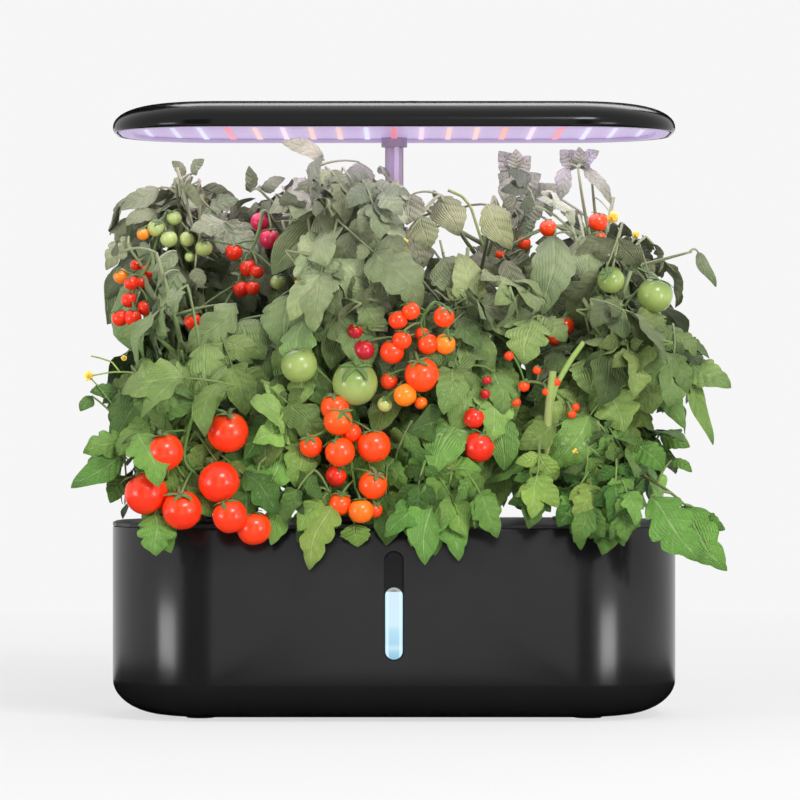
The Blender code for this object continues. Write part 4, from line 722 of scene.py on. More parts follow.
# Fruit by truss: plant, share up its stem, pixels along the truss's stalk, then for each fruit its pixel across, its
# pixel down, its width in pixels, its depth in mm and its ripeness
TRUSSES = {
    "truss_left_front": (0, 0.40, [(200, 395), (188, 430), (182, 462), (200, 478), (225, 500), (244, 512)], [
        (228, 432, 43, -106, 0.98), (219, 482, 43, -110, 1.00), (230, 516, 36, -114, 0.98), (254, 528, 36, -108, 0.95),
        (182, 510, 41, -112, 1.00), (146, 493, 45, -106, 1.00), (164, 452, 40, -112, 0.98),
    ]),
    "truss_left_back": (4, 0.72, [(168, 205), (160, 232), (150, 262), (136, 284), (131, 304)], [
        (143, 234, 13, -8, 0.62), (156, 228, 18, -8, 0.24), (169, 239, 18, -12, 0.20), (187, 239, 16, -10, 0.24),
        (174, 218, 16, -4, 0.20), (190, 257, 11, -10, 0.20), (149, 270, 15, 2, 0.98), (136, 265, 12, 6, 0.95),
        (141, 282, 17, 0, 1.00), (121, 276, 16, 2, 0.64), (131, 283, 15, -6, 1.00), (129, 300, 17, -6, 1.00),
        (145, 308, 16, -10, 1.00), (120, 318, 18, -12, 0.98), (133, 318, 18, -16, 1.00),
    ]),
    "truss_middle_left": (5, 0.66, [(264, 204), (258, 235), (246, 262), (240, 284)], [
        (260, 222, 20, -5, 1.22), (270, 239, 22, -12, 1.20), (234, 252, 18, -12, 1.02), (248, 268, 18, -14, 1.00),
        (257, 272, 14, -18, 1.00), (241, 289, 17, -18, 1.02), (253, 288, 15, -22, 1.00), (312, 228, 10, -10, 1.20),
        (204, 248, 18, -16, 0.22), (278, 282, 16, -20, 0.22), (193, 321, 18, -24, 1.00), (224, 317, 12, -24, 0.95),
    ]),
    "truss_centre_upper": (2, 0.55, [(438, 296), (421, 318), (419, 340), (412, 360), (404, 384)], [
        (444, 317, 22, -106, 0.90), (445, 344, 22, -104, 0.68), (428, 344, 22, -104, 0.92), (411, 311, 19, -106, 0.90),
        (398, 320, 20, -104, 0.95), (402, 340, 20, -108, 0.92), (422, 334, 15, -100, 0.90), (392, 352, 25, -104, 0.95),
        (422, 375, 36, -109, 0.90), (405, 395, 24, -111, 0.66), (421, 403, 14, -106, 0.74), (385, 404, 16, -105, 0.30),
        (389, 381, 18, -102, 0.95), (364, 350, 22, -98, 1.16), (355, 331, 16, -96, 1.14),
    ]),
    "truss_centre_lower": (1, 0.45, [(374, 396), (346, 399), (352, 430), (351, 465), (356, 492)], [
        (299, 365, 38, -102, 0.10), (355, 383, 47, -104, 0.12), (335, 407, 30, -106, 0.88), (338, 421, 30, -110, 0.84),
        (311, 446, 24, -106, 0.92), (340, 452, 31, -111, 0.88), (374, 446, 35, -106, 0.90), (352, 433, 20, -104, 0.92),
        (336, 476, 22, -104, 1.06), (373, 485, 30, -108, 0.88), (340, 504, 24, -108, 0.86), (361, 511, 26, -111, 0.72),
        (375, 510, 16, -106, 0.90),
    ]),
    "truss_centre_right": (2, 0.25, [(500, 385), (488, 402), (530, 378), (562, 394), (582, 420)], [
        (474, 418, 22, -104, 1.05), (479, 447, 32, -106, 1.05), (524, 386, 12, -96, 0.90), (575, 407, 10, -96, 0.90),
        (584, 434, 10, -96, 0.90), (516, 402, 10, -97, 0.92),
        (556, 382, 10, -97, 0.90), (537, 370, 9, -97, 0.92), (509, 356, 10, -92, 0.95), (485, 394, 11, -102, 1.14),
        (487, 380, 10, -102, 1.14), (572, 414, 9, -100, 0.92), (546, 392, 8, -98, 0.88),
    ]),
    "truss_right_back": (7, 0.62, [(545, 222), (575, 233), (600, 246), (625, 262), (650, 274)], [
        (548, 228, 18, -14, 0.92), (524, 243, 14, -14, 0.90), (554, 243, 12, -18, 0.90), (500, 254, 10, -20, 0.90),
        (598, 222, 20, -14, 0.94), (600, 237, 12, -16, 0.90), (611, 280, 28, -65, 0.12), (655, 295, 37, -60, 0.10),
        (565, 326, 20, -46, 0.94), (554, 339, 14, -51, 0.90),
    ]),
}

# Leaves that the photograph singles out: plant, base and tip in pixels, width in pixels, depth in mm,
# cut (0 smooth, 1 toothed, 2 lobed), tone from -1 dark to 1 light, and yellowness
LEAVES = np.array([
    (0, 126, 438, 83, 453, 30, -95, 2, 0.1, 0), (0, 121, 456, 71, 488, 30, -100, 0, 0.3, 0),
    (0, 138, 432, 159, 487, 40, -121, 2, 0.1, 0), (0, 155, 416, 199, 401, 28, -100, 1, 0.6, 0),
    (0, 187, 367, 158, 413, 40, -100, 2, -0.2, 0), (0, 205, 343, 214, 412, 45, -96, 2, -0.2, 0),
    (0, 155, 514, 156, 556, 40, -114, 2, 0.2, 0), (0, 158, 520, 171, 553, 24, -112, 1, 0.2, 0),
    (1, 282, 413, 244, 459, 30, -100, 2, 0.5, 0), (1, 286, 445, 262, 500, 34, -104, 2, 0.5, 0),
    (1, 286, 490, 271, 545, 28, -108, 2, 0.5, 0), (0, 118, 390, 90, 392, 16, -80, 1, 0.2, 0),
    (0, 92, 396, 80, 411, 13, -80, 0, 0.4, 0), (0, 155, 321, 120, 340, 18, -60, 1, 0.7, 0.2),
    (4, 159, 188, 113, 211, 22, 0, 1, 0, 0), (4, 158, 213, 121, 225, 16, -5, 1, 0, 0),
    (4, 129, 237, 106, 270, 22, -10, 2, 0, 0), (4, 185, 176, 172, 161, 12, 0, 1, 0, 0),
    (4, 192, 174, 204, 159, 14, 0, 1, 0.1, 0), (4, 225, 222, 190, 230, 30, -24, 2, -0.1, 0),
    (0, 176, 251, 153, 280, 16, -40, 1, 0, 0), (0, 179, 271, 166, 306, 26, -45, 2, 0, 0),
    (4, 195, 268, 202, 288, 16, -24, 1, -0.3, 0), (0, 236, 304, 187, 352, 35, -70, 2, -0.1, 0),
    (1, 240, 320, 265, 360, 40, -70, 1, 0, 0), (1, 282, 295, 290, 352, 45, -76, 1, 0, 0),
    (5, 250, 192, 249, 166, 14, 10, 1, 0, 0), (5, 262, 190, 285, 178, 14, 5, 1, 0, 0),
    (5, 324, 160, 281, 142, 20, 0, 1, 0.3, 0.2), (5, 359, 162, 361, 199, 30, -10, 1, 0.2, 0.1),
    (6, 379, 167, 390, 177, 10, 0, 1, 0, 0), (6, 386, 187, 407, 191, 12, -10, 1, 0, 0),
    (6, 413, 194, 407, 225, 35, -30, 1, -0.1, 0), (6, 441, 196, 459, 236, 35, -20, 1, 0.1, 0.2),
    (6, 421, 216, 428, 251, 30, -38, 1, 0.1, 0.2), (1, 316, 218, 272, 275, 38, -60, 0, 0.3, 0.2),
    (1, 327, 207, 344, 285, 42, -72, 0, -0.3, 0), (1, 376, 277, 367, 314, 30, -76, 1, 0, 0),
    (2, 444, 257, 464, 302, 45, -60, 1, -0.4, 0), (1, 291, 294, 283, 349, 50, -80, 1, 0, 0),
    (1, 340, 334, 317, 357, 30, -86, 1, 0.4, 0), (2, 462, 312, 470, 352, 30, -86, 1, -0.6, 0),
    (1, 436, 478, 425, 565, 44, -119, 2, 0.4, 0), (1, 428, 486, 385, 537, 32, -117, 2, 0.4, 0),
    (2, 446, 492, 459, 561, 34, -117, 2, 0.4, 0), (2, 437, 481, 477, 527, 45, -112, 1, -0.1, 0),
    (2, 441, 472, 482, 470, 26, -110, 1, 0.6, 0), (2, 395, 426, 462, 447, 50, -96, 1, -0.4, 0),
    (2, 405, 445, 413, 495, 34, -94, 1, -0.3, 0), (2, 471, 371, 454, 432, 45, -100, 2, -0.2, 0),
    (1, 333, 505, 309, 570, 35, -118, 2, 0.5, 0.5), (1, 322, 500, 298, 531, 24, -116, 1, 0.5, 0.3),
    (1, 355, 524, 358, 547, 30, -112, 1, 0, 0.2), (2, 398, 485, 398, 522, 40, -104, 1, 0, 0.3),
    (1, 294, 438, 265, 490, 40, -98, 1, 0.2, 0), (6, 516, 176, 499, 151, 25, -4, 1, -0.2, 0),
    (6, 515, 174, 531, 156, 22, -6, 1, -0.2, 0), (7, 577, 168, 560, 150, 22, 6, 1, -0.2, 0),
    (7, 580, 168, 599, 151, 20, 4, 1, -0.2, 0), (7, 567, 167, 557, 202, 18, 2, 1, -0.1, 0),
    (7, 585, 167, 611, 204, 14, 2, 1, -0.1, 0), (6, 487, 204, 511, 250, 35, -20, 1, 0.3, 0.4),
    (3, 554, 235, 544, 315, 45, -60, 1, -0.1, 0), (3, 583, 237, 587, 280, 42, -60, 1, -0.1, 0),
    (6, 505, 260, 517, 310, 25, -30, 1, 0, 0), (7, 698, 252, 716, 287, 12, 0, 0, 0, 0),
    (3, 646, 308, 648, 339, 40, -56, 2, -0.2, 0), (3, 665, 325, 675, 355, 30, -56, 1, -0.4, 0),
    (3, 681, 344, 707, 353, 20, -60, 1, 0.4, 0), (2, 533, 318, 524, 365, 45, -86, 2, 0.6, 0.2),
    (3, 591, 357, 589, 394, 45, -96, 1, -0.1, 0), (3, 635, 358, 652, 414, 60, -90, 2, 0.1, 0.2),
    (3, 607, 382, 624, 432, 50, -99, 2, 0.1, 0.2), (3, 663, 368, 685, 429, 25, -84, 1, 0, 0),
    (3, 690, 364, 731, 388, 35, -66, 1, 0.1, 0), (3, 690, 372, 713, 445, 17, -66, 0, 0, 0),
    (2, 494, 372, 504, 414, 35, -96, 1, -0.2, 0), (2, 505, 418, 504, 471, 35, -101, 1, 0.2, 0),
    (2, 539, 466, 539, 512, 35, -106, 1, 0.2, 0), (3, 579, 484, 579, 523, 45, -110, 1, 0.5, 0),
    (3, 627, 497, 602, 531, 30, -112, 1, 0.6, 0), (3, 650, 497, 700, 562, 50, -112, 2, 0.3, 0),
    (3, 681, 506, 727, 571, 40, -107, 2, 0.3, 0), (3, 700, 515, 725, 530, 18, -104, 1, 0.3, 0),
    (3, 635, 506, 622, 540, 24, -110, 1, 0, 0), (2, 575, 520, 581, 550, 16, -106, 1, -0.3, 0),
    (3, 600, 530, 607, 553, 16, -108, 1, -0.3, 0), (3, 618, 520, 624, 546, 16, -108, 1, -0.3, 0),
    (3, 639, 443, 663, 471, 30, -96, 1, 0.2, 0), (3, 672, 460, 692, 472, 12, -90, 1, 0.4, 0),
    (6, 515, 170, 516, 149, 20, -8, 1, -0.1, 0), (6, 514, 186, 498, 174, 20, -6, 1, -0.3, 0),
    (6, 518, 190, 541, 174, 24, -6, 1, -0.2, 0), (6, 530, 204, 558, 184, 22, -2, 1, -0.2, 0),
    (6, 516, 204, 499, 192, 20, -4, 1, -0.3, 0), (6, 524, 216, 545, 204, 22, -4, 1, -0.2, 0),
    (6, 512, 176, 502, 200, 18, -9, 1, -0.2, 0), (6, 522, 178, 528, 203, 20, -2, 1, -0.3, 0),
    (7, 579, 166, 579, 147, 16, 2, 1, -0.1, 0), (0, 126, 476, 110, 503, 22, -92, 1, -0.2, 0),
    (3, 660, 434, 690, 447, 20, -84, 1, 0.3, 0), (2, 548, 296, 530, 330, 46, -30, 2, 0.1, 0),
    (6, 478, 252, 488, 296, 46, 20, 2, -0.1, 0), (6, 410, 228, 424, 268, 46, 20, 2, -0.1, 0),
    (2, 545, 318, 566, 342, 26, -78, 2, 0.7, 0.1), (2, 530, 330, 552, 322, 26, -80, 2, 0.7, 0.1),
])

# The outline of the foliage, in pixels from the lower left corner round, and the gaps in it: middle and radius
OUTLINE = np.array([
    (74, 486), (92, 458), (92, 428), (112, 414), (112, 398), (92, 390), (120, 376), (120, 356), (130, 344), (124, 328),
    (110, 320), (112, 290), (112, 262), (107, 240), (126, 228), (116, 210), (132, 192), (158, 190), (176, 165), (204, 163),
    (207, 186), (228, 202), (246, 178), (262, 172), (284, 182), (298, 170), (288, 152), (284, 143), (324, 152), (345, 166),
    (366, 160), (385, 166), (396, 182), (425, 186), (450, 186), (474, 196), (480, 216), (488, 206), (499, 202), (498, 184),
    (494, 164), (510, 151), (528, 158), (524, 176), (545, 182), (560, 166), (562, 151), (582, 149), (598, 153), (592, 168),
    (608, 202), (614, 216), (632, 226), (652, 237), (680, 246), (704, 258), (680, 264), (664, 276), (677, 292), (678, 320),
    (688, 340), (704, 352), (713, 366), (728, 385), (712, 392), (704, 412), (694, 402), (688, 434), (688, 450), (680, 464),
    (688, 470), (698, 478), (680, 490), (676, 500), (700, 520), (722, 530), (722, 560), (702, 558), (680, 540), (655, 542),
    (620, 542), (580, 543), (560, 538), (535, 532), (500, 528), (480, 530), (470, 548), (448, 550), (425, 552), (400, 540),
    (370, 532), (334, 540), (312, 558), (296, 536), (270, 536), (240, 530), (200, 526), (170, 520), (162, 550), (150, 548),
    (142, 528), (126, 514), (118, 480), (96, 482),
])
GAPS = np.array([
    (458, 175, 20), (485, 178, 18), (220, 180, 11), (101, 409, 14), (640, 422, 11), (444, 236, 9), (471, 225, 9),
    (467, 263, 8), (545, 160, 12), (692, 314, 11), (470, 205, 8), (92, 360, 11), (672, 488, 12), (690, 497, 8),
    (108, 296, 8), (700, 410, 8), (684, 331, 7), (663, 426, 8), (293, 170, 7), (272, 180, 6), (139, 186, 6),
    (572, 200, 9), (601, 205, 12), (625, 205, 12), (430, 178, 10), (86, 400, 8), (598, 180, 8),
])


def inside(px, py):
    """True where a pixel lies in the outline, by counting the edges to its right."""
    x0, y0 = OUTLINE.T
    x1, y1 = np.roll(OUTLINE, -1, axis=0).T
    spans = (y0 > py[:, None]) != (y1 > py[:, None])
    where = x0 + (py[:, None] - y0) * (x1 - x0) / np.where(y1 == y0, 1, y1 - y0)
    return (spans & (px[:, None] < where)).sum(axis=1) % 2 == 1


FRUIT_ROWS = np.array([row for *_, rows in TRUSSES.values() for row in rows], float)


def open_to_view(points):
    """True for each leaf [n, k, 3] that stays in the outline, off the gaps, and off the fruit behind it."""
    n, k, _ = points.shape
    px, py = (v.reshape(-1) for v in pixel_of(points))
    fine = inside(px, py).reshape(n, k)
    gap = np.hypot(px[:, None] - GAPS[:, 0], py[:, None] - GAPS[:, 1]) < GAPS[:, 2] + 5
    fine &= ~gap.any(axis=1).reshape(n, k)
    fruit_x, fruit_y, width, depth, _ = FRUIT_ROWS.T
    near = np.hypot(px[:, None] - fruit_x, py[:, None] - fruit_y) < width * 0.55 + 7
    ahead = points[..., 1].reshape(-1)[:, None] < (depth + 4) * MM
    fine &= ~(near & ahead).any(axis=1).reshape(n, k)
    return fine.all(axis=1)


# Room kept free at the deck, the lamp and the post, and in the filler cap's swing, and the bounds of the foliage
DECK_ROOM, LAMP_ROOM, POST_ROOM, LOWEST_LEAF = 0.006, 0.007, 0.015, 0.094
CAP_HALF, CAP_FRONT, CAP_BACK, CAP_SWING_TOP = 0.020, -0.070, -0.012, 0.172
FOLIAGE_MIDDLE, FOLIAGE_HALF_WIDTH, FOLIAGE_HALF_DEPTH = 0.0015, 0.2145, 0.126


def clear_of_parts(points):
    """True for each leaf that keeps off the deck, the lamp, the post and the filler cap's swing."""
    x, y, z = points[..., 0], points[..., 1], points[..., 2]
    over = (np.abs(x) < HALF_WIDTH + DECK_ROOM) & (np.abs(y) < HALF_DEPTH + DECK_ROOM)
    hit = over & (z < DECK_TOP + DECK_ROOM)
    hit |= (z > LAMP_BOTTOM - LAMP_ROOM) | (z < LOWEST_LEAF)
    hit |= np.hypot(x, y - POST_Y) < POST_ROOM
    hit |= (np.abs(x) < CAP_HALF) & (y > CAP_FRONT) & (y < CAP_BACK) & (z < CAP_SWING_TOP)
    hit |= (np.abs(x - FOLIAGE_MIDDLE) > FOLIAGE_HALF_WIDTH) | (np.abs(y) > FOLIAGE_HALF_DEPTH)
    return ~hit.any(axis=1)


# Layers of leaves: front and back depth in mm, spacing of the tips in pixels, highest and lowest pixel, and
# shortest and longest leaf in mm
LAYERS = [
    (-124, -88, 31, 145, 560, 44, 74), (-88, -35, 30, 145, 560, 46, 76), (-35, 30, 30, 145, 560, 46, 76),
    (30, 80, 31, 145, 560, 46, 76), (80, 124, 32, 145, 560, 46, 76), (-122, -101, 20, 512, 556, 30, 48),
    (-86, 60, 15, 478, 522, 30, 46),
]
LEFT_PIXEL, RIGHT_PIXEL = 70, 733
# Longest and shortest way from a stem to a leaf's tip, and the height over which leaves turn from drooping to upright
REACH, LEAST_REACH = 0.100, 0.022
TOP_START, TOP_RISE = 0.315, 0.045
# Points of a leaf that are tested: share along it, and side
PROBES = [(0, 0), (0.25, 0), (0.5, 0), (0.75, 0), (1, 0), (0.3, 1), (0.3, -1), (0.6, 1), (0.6, -1)]


def fill_leaves(tries=2200):
    """
    Seeded leaves that close the foliage, layer by layer. In each the tips are scattered through the outline no
    nearer to each other than the spacing. A leaf hangs from its plant's nearest stem or shoot; low ones droop, and
    the topmost ones stand up.
    """
    layers = []
    for front, back, spacing, highest, lowest, least, most in LAYERS:
        px, py = rng.uniform(LEFT_PIXEL, RIGHT_PIXEL, tries), rng.uniform(highest, lowest, tries)
        y = rng.uniform(front, back, tries) * MM
        tip = seen_at(px, py, y)
        column = np.round((tip[:, 0] - POD_X[0]) / POD_PITCH + rng.uniform(-0.25, 0.25, tries))
        row = y + rng.uniform(-0.02, 0.02, tries) > 0
        plant = np.clip(column, 0, len(POD_X) - 1).astype(int) + len(POD_X) * row
        source = carrier(plant, tip, LEAST_REACH)
        reach = tip - source
        far = np.linalg.norm(reach, axis=1)
        top = np.clip((tip[:, 2] - TOP_START) / TOP_RISE, 0, 1)
        droop = np.column_stack([0 * far, 0 * far, 1.5 * top - 0.9])
        way = unit(unit(reach) + droop + rng.normal(0, 0.22, (tries, 3)))
        length = rng.uniform(least, most, tries) * MM * (1 - 0.35 * top)
        base = tip - way * length[:, None]
        outward = unit(np.column_stack([tip[:, 0] * 0.45, tip[:, 1] - 0.02, 0 * far]))
        facing = unit(outward + [0, 0, 0.50] + rng.normal(0, 0.30, (tries, 3)))
        aside = unit(np.cross(way, facing)) * length[:, None] * 0.30
        probes = np.stack([base + (tip - base) * share + aside * hand for share, hand in PROBES], axis=1)
        good = (far < REACH) & open_to_view(probes) & clear_of_parts(probes)
        kept = []
        for k in np.flatnonzero(good):
            if not kept or np.hypot(px[kept] - px[k], py[kept] - py[k]).min() > spacing:
                kept.append(k)
        layers.append((plant[kept], base[kept], tip[kept], facing[kept], source[kept]))
    return [np.concatenate(parts) for parts in zip(*layers)]


# Leaflets of a compound leaf: share along it, side, length as a share of its own, angle in degrees and breadth
LEAFLETS = np.array([
    (0.44, 0, 0.56, 0, 0.66), (0.47, 1, 0.40, 46, 0.60), (0.44, -1, 0.41, 48, 0.60), (0.16, 1, 0.36, 62, 0.60),
    (0.13, -1, 0.35, 60, 0.60), (0.33, 1, 0.13, 66, 0.70), (0.30, -1, 0.12, 66, 0.70),
])


def leaflets(base, tip, facing):
    """
    The leaflets of n compound leaves: roots, ends, facings and widths. The midrib bows up by 4t(1 - t), and each
    leaflet hangs a little. The last result is the point towards which each midrib is drawn.
    """
    n = len(base), len(LEAFLETS)
    reach = tip - base
    length = np.linalg.norm(reach, axis=1)[:, None, None]
    ahead, side = unit(reach), unit(np.cross(reach, facing))
    up = np.cross(side, ahead)
    share, hand, size, angle, broad = (column[None, :] for column in LEAFLETS.T)
    angle = np.radians(angle + rng.normal(0, 9, n)) * hand
    size = size * rng.uniform(0.82, 1.18, n)
    root = base[:, None] + reach[:, None] * share[..., None]
    root = root + up[:, None] * (length * 0.12 * 4 * (share * (1 - share))[..., None])
    way = ahead[:, None] * np.cos(angle)[..., None] + side[:, None] * np.sin(angle)[..., None]
    lift = rng.normal(-0.06, 0.06, n) - 0.10 * np.abs(hand) * size
    end = root + way * length * size[..., None] + up[:, None] * length * lift[..., None]
    end = end - np.array([0, 0, 0.16]) * length * size[..., None]
    look = unit(up[:, None] + side[:, None] * (hand * -0.25)[..., None] + rng.normal(0, 0.15, (*n, 3)))
    wide = broad * np.linalg.norm(end - root, axis=-1)
    middle = base + reach * 0.5 + up * length[:, 0] * 0.22
    return root.reshape(-1, 3), end.reshape(-1, 3), look.reshape(-1, 3), wide.reshape(-1), middle


def green(name, grids, skin, node, **more):
    """A piece that takes the place of a plant or truss node."""
    piece(name, grids, skin, (node,), slot="leaf_green", **more)


def each(values):
    """A leaf's value for each of its leaflets."""
    return np.repeat(values, len(LEAFLETS))


plant, base, tip, facing, source = fill_leaves()
roots, ends, looks, wides, middles = leaflets(base, tip, facing)
owner = each(plant)
tones = each(rng.uniform(0.10, 0.95, len(plant))) + rng.normal(0, 0.10, len(owner))
hues = each(rng.random(len(plant)))
ages = each(rng.random(len(plant)) ** 6 * 0.5)
in_room = clear_of_parts(np.stack([(roots + ends) / 2, ends], axis=1))

# The leaves placed one by one; PIXEL is the width of a pixel at their depth in metres
PIXEL = 0.00064
hero, hero_form = LEAVES[:, 0].astype(int), LEAVES[:, 7].astype(int)
hero_depth = LEAVES[:, 6] * MM
hero_base = seen_at(*LEAVES[:, 1:3].T, hero_depth + 6 * MM)
hero_tip = seen_at(*LEAVES[:, 3:5].T, hero_depth - 2 * MM)
hero_width = LEAVES[:, 5] * PIXEL
hero_facing = unit(np.array([0, -1, 0.30]) + rng.normal(0, 0.16, (len(hero), 3)))
hero_cut = np.array([0.02, 0.08, 0.20])[hero_form]
hero_lobes = np.array([4.0, 4.6, 3.4])[hero_form]
hero_tone = 0.60 + 0.35 * LEAVES[:, 8]
hero_stem = carrier(hero, hero_base, 4 * MM)

for k in range(len(PODS)):
    mine = (owner == k) & in_room
    fill, fill_place = blades(
        roots[mine], ends[mine], looks[mine], wides[mine], bow=rng.normal(0.08, 0.05, mine.sum()),
        fold=rng.uniform(0.10, 0.50, mine.sum()), curl=0.22, lobes=rng.uniform(2.4, 3.4, mine.sum()),
        depth=rng.uniform(0.06, 0.24, mine.sum()), rings=13,
    )
    ours = hero == k
    lead, lead_place = blades(
        hero_base[ours], hero_tip[ours], hero_facing[ours], hero_width[ours],
        bow=rng.uniform(0.02, 0.12, ours.sum()), fold=rng.uniform(0.05, 0.30, ours.sum()), curl=0.22,
        lobes=hero_lobes[ours], depth=hero_cut[ours], rings=25, fine=True,
    )
    node = f"plant_{k + 1}"
    green(
        f"{node}_leaves", [fill, lead], LEAF, node, crease=60, blade=[fill_place, lead_place],
        tint=[
            tint(fill.shape, tones[mine], hues[mine], ages[mine]),
            tint(lead.shape, hero_tone[ours], rng.random(ours.sum()), LEAVES[ours, 9]),
        ],
    )
    stem = on_stem(k, np.linspace(0, 1, 14))[None]
    leaf = plant == k
    ribs = curve(base[leaf], middles[leaf], base[leaf] + (tip - base)[leaf] * 0.56, 6)
    bends = (source + base)[leaf] / 2 + [0, 0, 6 * MM]
    stalks = curve(source[leaf], bends, base[leaf], 5)
    hero_bend = (hero_stem + hero_base)[ours] / 2 + [0, 0, 4 * MM]
    hero_stalks = curve(hero_stem[ours], hero_bend, hero_base[ours], 7)
    grids = [
        tapered(stem, 0.0024, 0.0013, 10), tapered(ribs, 0.0008, 0.0004, 5), tapered(stalks, 0.0009, 0.0009, 5),
        tapered(hero_stalks, 0.0011, 0.0006, 6), tapered(SHOOT_PATHS[SHOOT_PLANT == k], 0.0017, 0.0008, 7),
    ]
    green(f"{node}_stems", grids, STALK, node)

def five_round(up, start):
    """Five directions [..., 5, 3] evenly round an axis, from a start angle."""
    first = unit(np.cross(up, np.array([0.3, 0.9, 0.2])))[..., None, :]
    second = np.cross(up, first[..., 0, :])[..., None, :]
    angles = (np.arange(5) * 2 * math.pi / 5 + start)[..., None]
    return first * np.cos(angles) + second * np.sin(angles)


# The width of a pixel at the tank's face in metres, and the eye's distance from it
FACE_PIXEL, EYE_DISTANCE = 0.000638, 2.8
SEPALS = 5
for name, (k, share, route, rows) in TRUSSES.items():
    rows, route = np.array(rows, float), np.array(route, float)
    px, py, width, depth, ripeness = rows.T
    depth = depth * MM
    centre = seen_at(px, py, depth)
    radius = width / 2 * FACE_PIXEL * (1 + (depth + HALF_DEPTH) / EYE_DISTANCE)
    n = len(rows)
    up = unit(np.array([0, -0.30, 1.0]) + rng.normal(0, 0.30, (n, 3)))
    head = centre + up * (radius * 0.86)[:, None]
    spine = np.concatenate([[on_stem(k, share)], seen_at(*route.T, np.median(depth) + 5 * MM)])
    stalk = evenly(spine, 60)
    padded = np.pad(stalk, ((4, 4), (0, 0)), "edge")
    stalk = np.mean([padded[i:i + len(stalk)] for i in range(9)], axis=0)
    nearest = stalk[np.linalg.norm(stalk[None] - (head + up * 8 * MM)[:, None], axis=2).argmin(axis=1)]
    fruit, place = globes(centre, radius, up)
    shades = tint(fruit.shape, ripeness, rng.random(n), 0)
    piece(f"{name}_fruit", [fruit], FRUIT, (name,), slot="fruit_red", blade=[place], tint=[shades])
    spread = five_round(up, rng.random((n, 1)) * 2)
    size = radius[:, None, None]
    star_base = head[:, None] + spread * size * 0.05
    star_tip = head[:, None] + spread * size * rng.uniform(0.62, 0.95, (n, SEPALS, 1))
    star_tip = star_tip - up[:, None] * size * rng.uniform(-0.15, 0.30, (n, SEPALS, 1))
    star_face = np.broadcast_to(up[:, None], star_base.shape)
    star, _ = blades(
        star_base.reshape(-1, 3), star_tip.reshape(-1, 3), star_face.reshape(-1, 3),
        np.repeat(radius * 0.24, SEPALS), bow=0.10, fold=0.1, curl=0.1, depth=0.0, rings=8,
    )
    links = curve(nearest, (nearest + head) / 2 + up * 3 * MM, head - up * (radius * 0.05)[:, None], 6)
    stalks = [tapered(stalk[None], 0.0014, 0.0008, 8), tapered(links, 0.0006, 0.0009, 6)]
    green(f"{name}_stalk", [star, *stalks], SEPAL, name)


# Flowers: plant, pixel across, pixel down, depth in mm and width in mm
FLOWERS = [
    (0, 89, 376, -80, 7), (7, 613, 218, -10, 9), (7, 636, 235, -30, 6), (5, 344, 211, -14, 6), (6, 405, 242, -44, 5),
    (1, 402, 268, -70, 5), (1, 300, 283, -84, 7), (3, 576, 452, -104, 5), (0, 124, 358, -78, 4),
]
for number, (k, px, py, y, wide) in enumerate(FLOWERS):
    centre = seen_at(px, py, y * MM)
    face = unit(np.array([0.2, -1, -0.25]) + rng.normal(0, 0.25, 3))
    first = unit(np.cross(face, [0.1, 0.2, 1]))
    second = np.cross(face, first)
    angle = (np.arange(5) * 2 * math.pi / 5)[:, None]
    spread = first * np.cos(angle) + second * np.sin(angle)
    petals, places = blades(
        centre + spread * 0.4 * MM, centre + (spread - face * 0.3) * wide / 2 * MM, np.tile(face, (5, 1)),
        wide / 2.6 * MM, depth=0, rings=8,
    )
    heart = np.array([[centre + face * out for out in (-0.001, 0.0015, 0.0028)]])
    cone = tubes(heart, [[0.0009, 0.0008, 0.0002]], 7)
    node = f"plant_{k + 1}"
    blade = [places, np.zeros(cone.shape)]
    green(f"{node}_flower_{number + 1}", [petals, cone], PETAL, node, crease=60, blade=blade)
    root = carrier(np.array([k]), centre[None], 4 * MM)
    stalk = curve(root, (root + centre) / 2 + [0, 0, 5 * MM], centre[None] - face * MM, 8)
    green(f"{node}_flower_stalk_{number + 1}", [tapered(stalk, 0.0005, 0.0005, 6)], STALK, node)

# Stout pale stems that show between the leaves: plant, points in pixels, depth in mm and half width in mm
STOUT_STEMS = [
    (2, [(545, 470), (547, 438), (549, 405), (553, 371)], -98, 3.0),
    (2, [(548, 412), (556, 385), (572, 358), (584, 342)], -97, 2.0),
    (5, [(372, 262), (374, 240), (378, 222), (381, 205)], -22, 2.2),
    (6, [(448, 190), (462, 196), (471, 207), (483, 246)], -20, 1.1),
    (0, [(120, 372), (112, 362), (100, 358), (91, 356)], -78, 0.6),
    (0, [(150, 380), (130, 372), (112, 372), (90, 376)], -79, 0.6),
]
for number, (k, points, y, thick) in enumerate(STOUT_STEMS):
    path = evenly(seen_at(*np.array(points, float).T, y * MM), 14)[None]
    stem = tapered(path, thick * MM, thick * 0.8 * MM, 12)
    green(f"plant_{k + 1}_stout_{number + 1}", [stem], PALE_STALK, f"plant_{k + 1}")


# Floor, light and camera

PALE, FLOOR_SIZE = (0.925, 0.925, 0.925), 40


def floor_finish():
    """
    Pale floor: it looks white to the camera and in reflections, keeps the object's shadow, and melts into the
    background away from the object.
    """
    made = Finish("floor_pale", Roughness=0.9)
    made.looks(Base_Color=made.mix(made.noise(3.0) * 0.1, (0.90, 0.90, 0.90), (0.86, 0.86, 0.86)))
    x, y, _ = made.split(made.place())
    far = ((x * x + y * y) ** 0.5 * FLOOR_SIZE).step(0.35, 1.5)
    glow = made.node("Emission", sockets={"Color": (*PALE, 1), "Strength": 1.0})
    share = made.seen_rays() * (0.70 + far * 0.30)
    blend = made.node("MixShader", sockets={0: share, 1: Value(made.tree, made.skin.outputs[0]), 2: glow})
    made.feed(made.tree.nodes["Material Output"], {"Surface": blend})
    return made.material


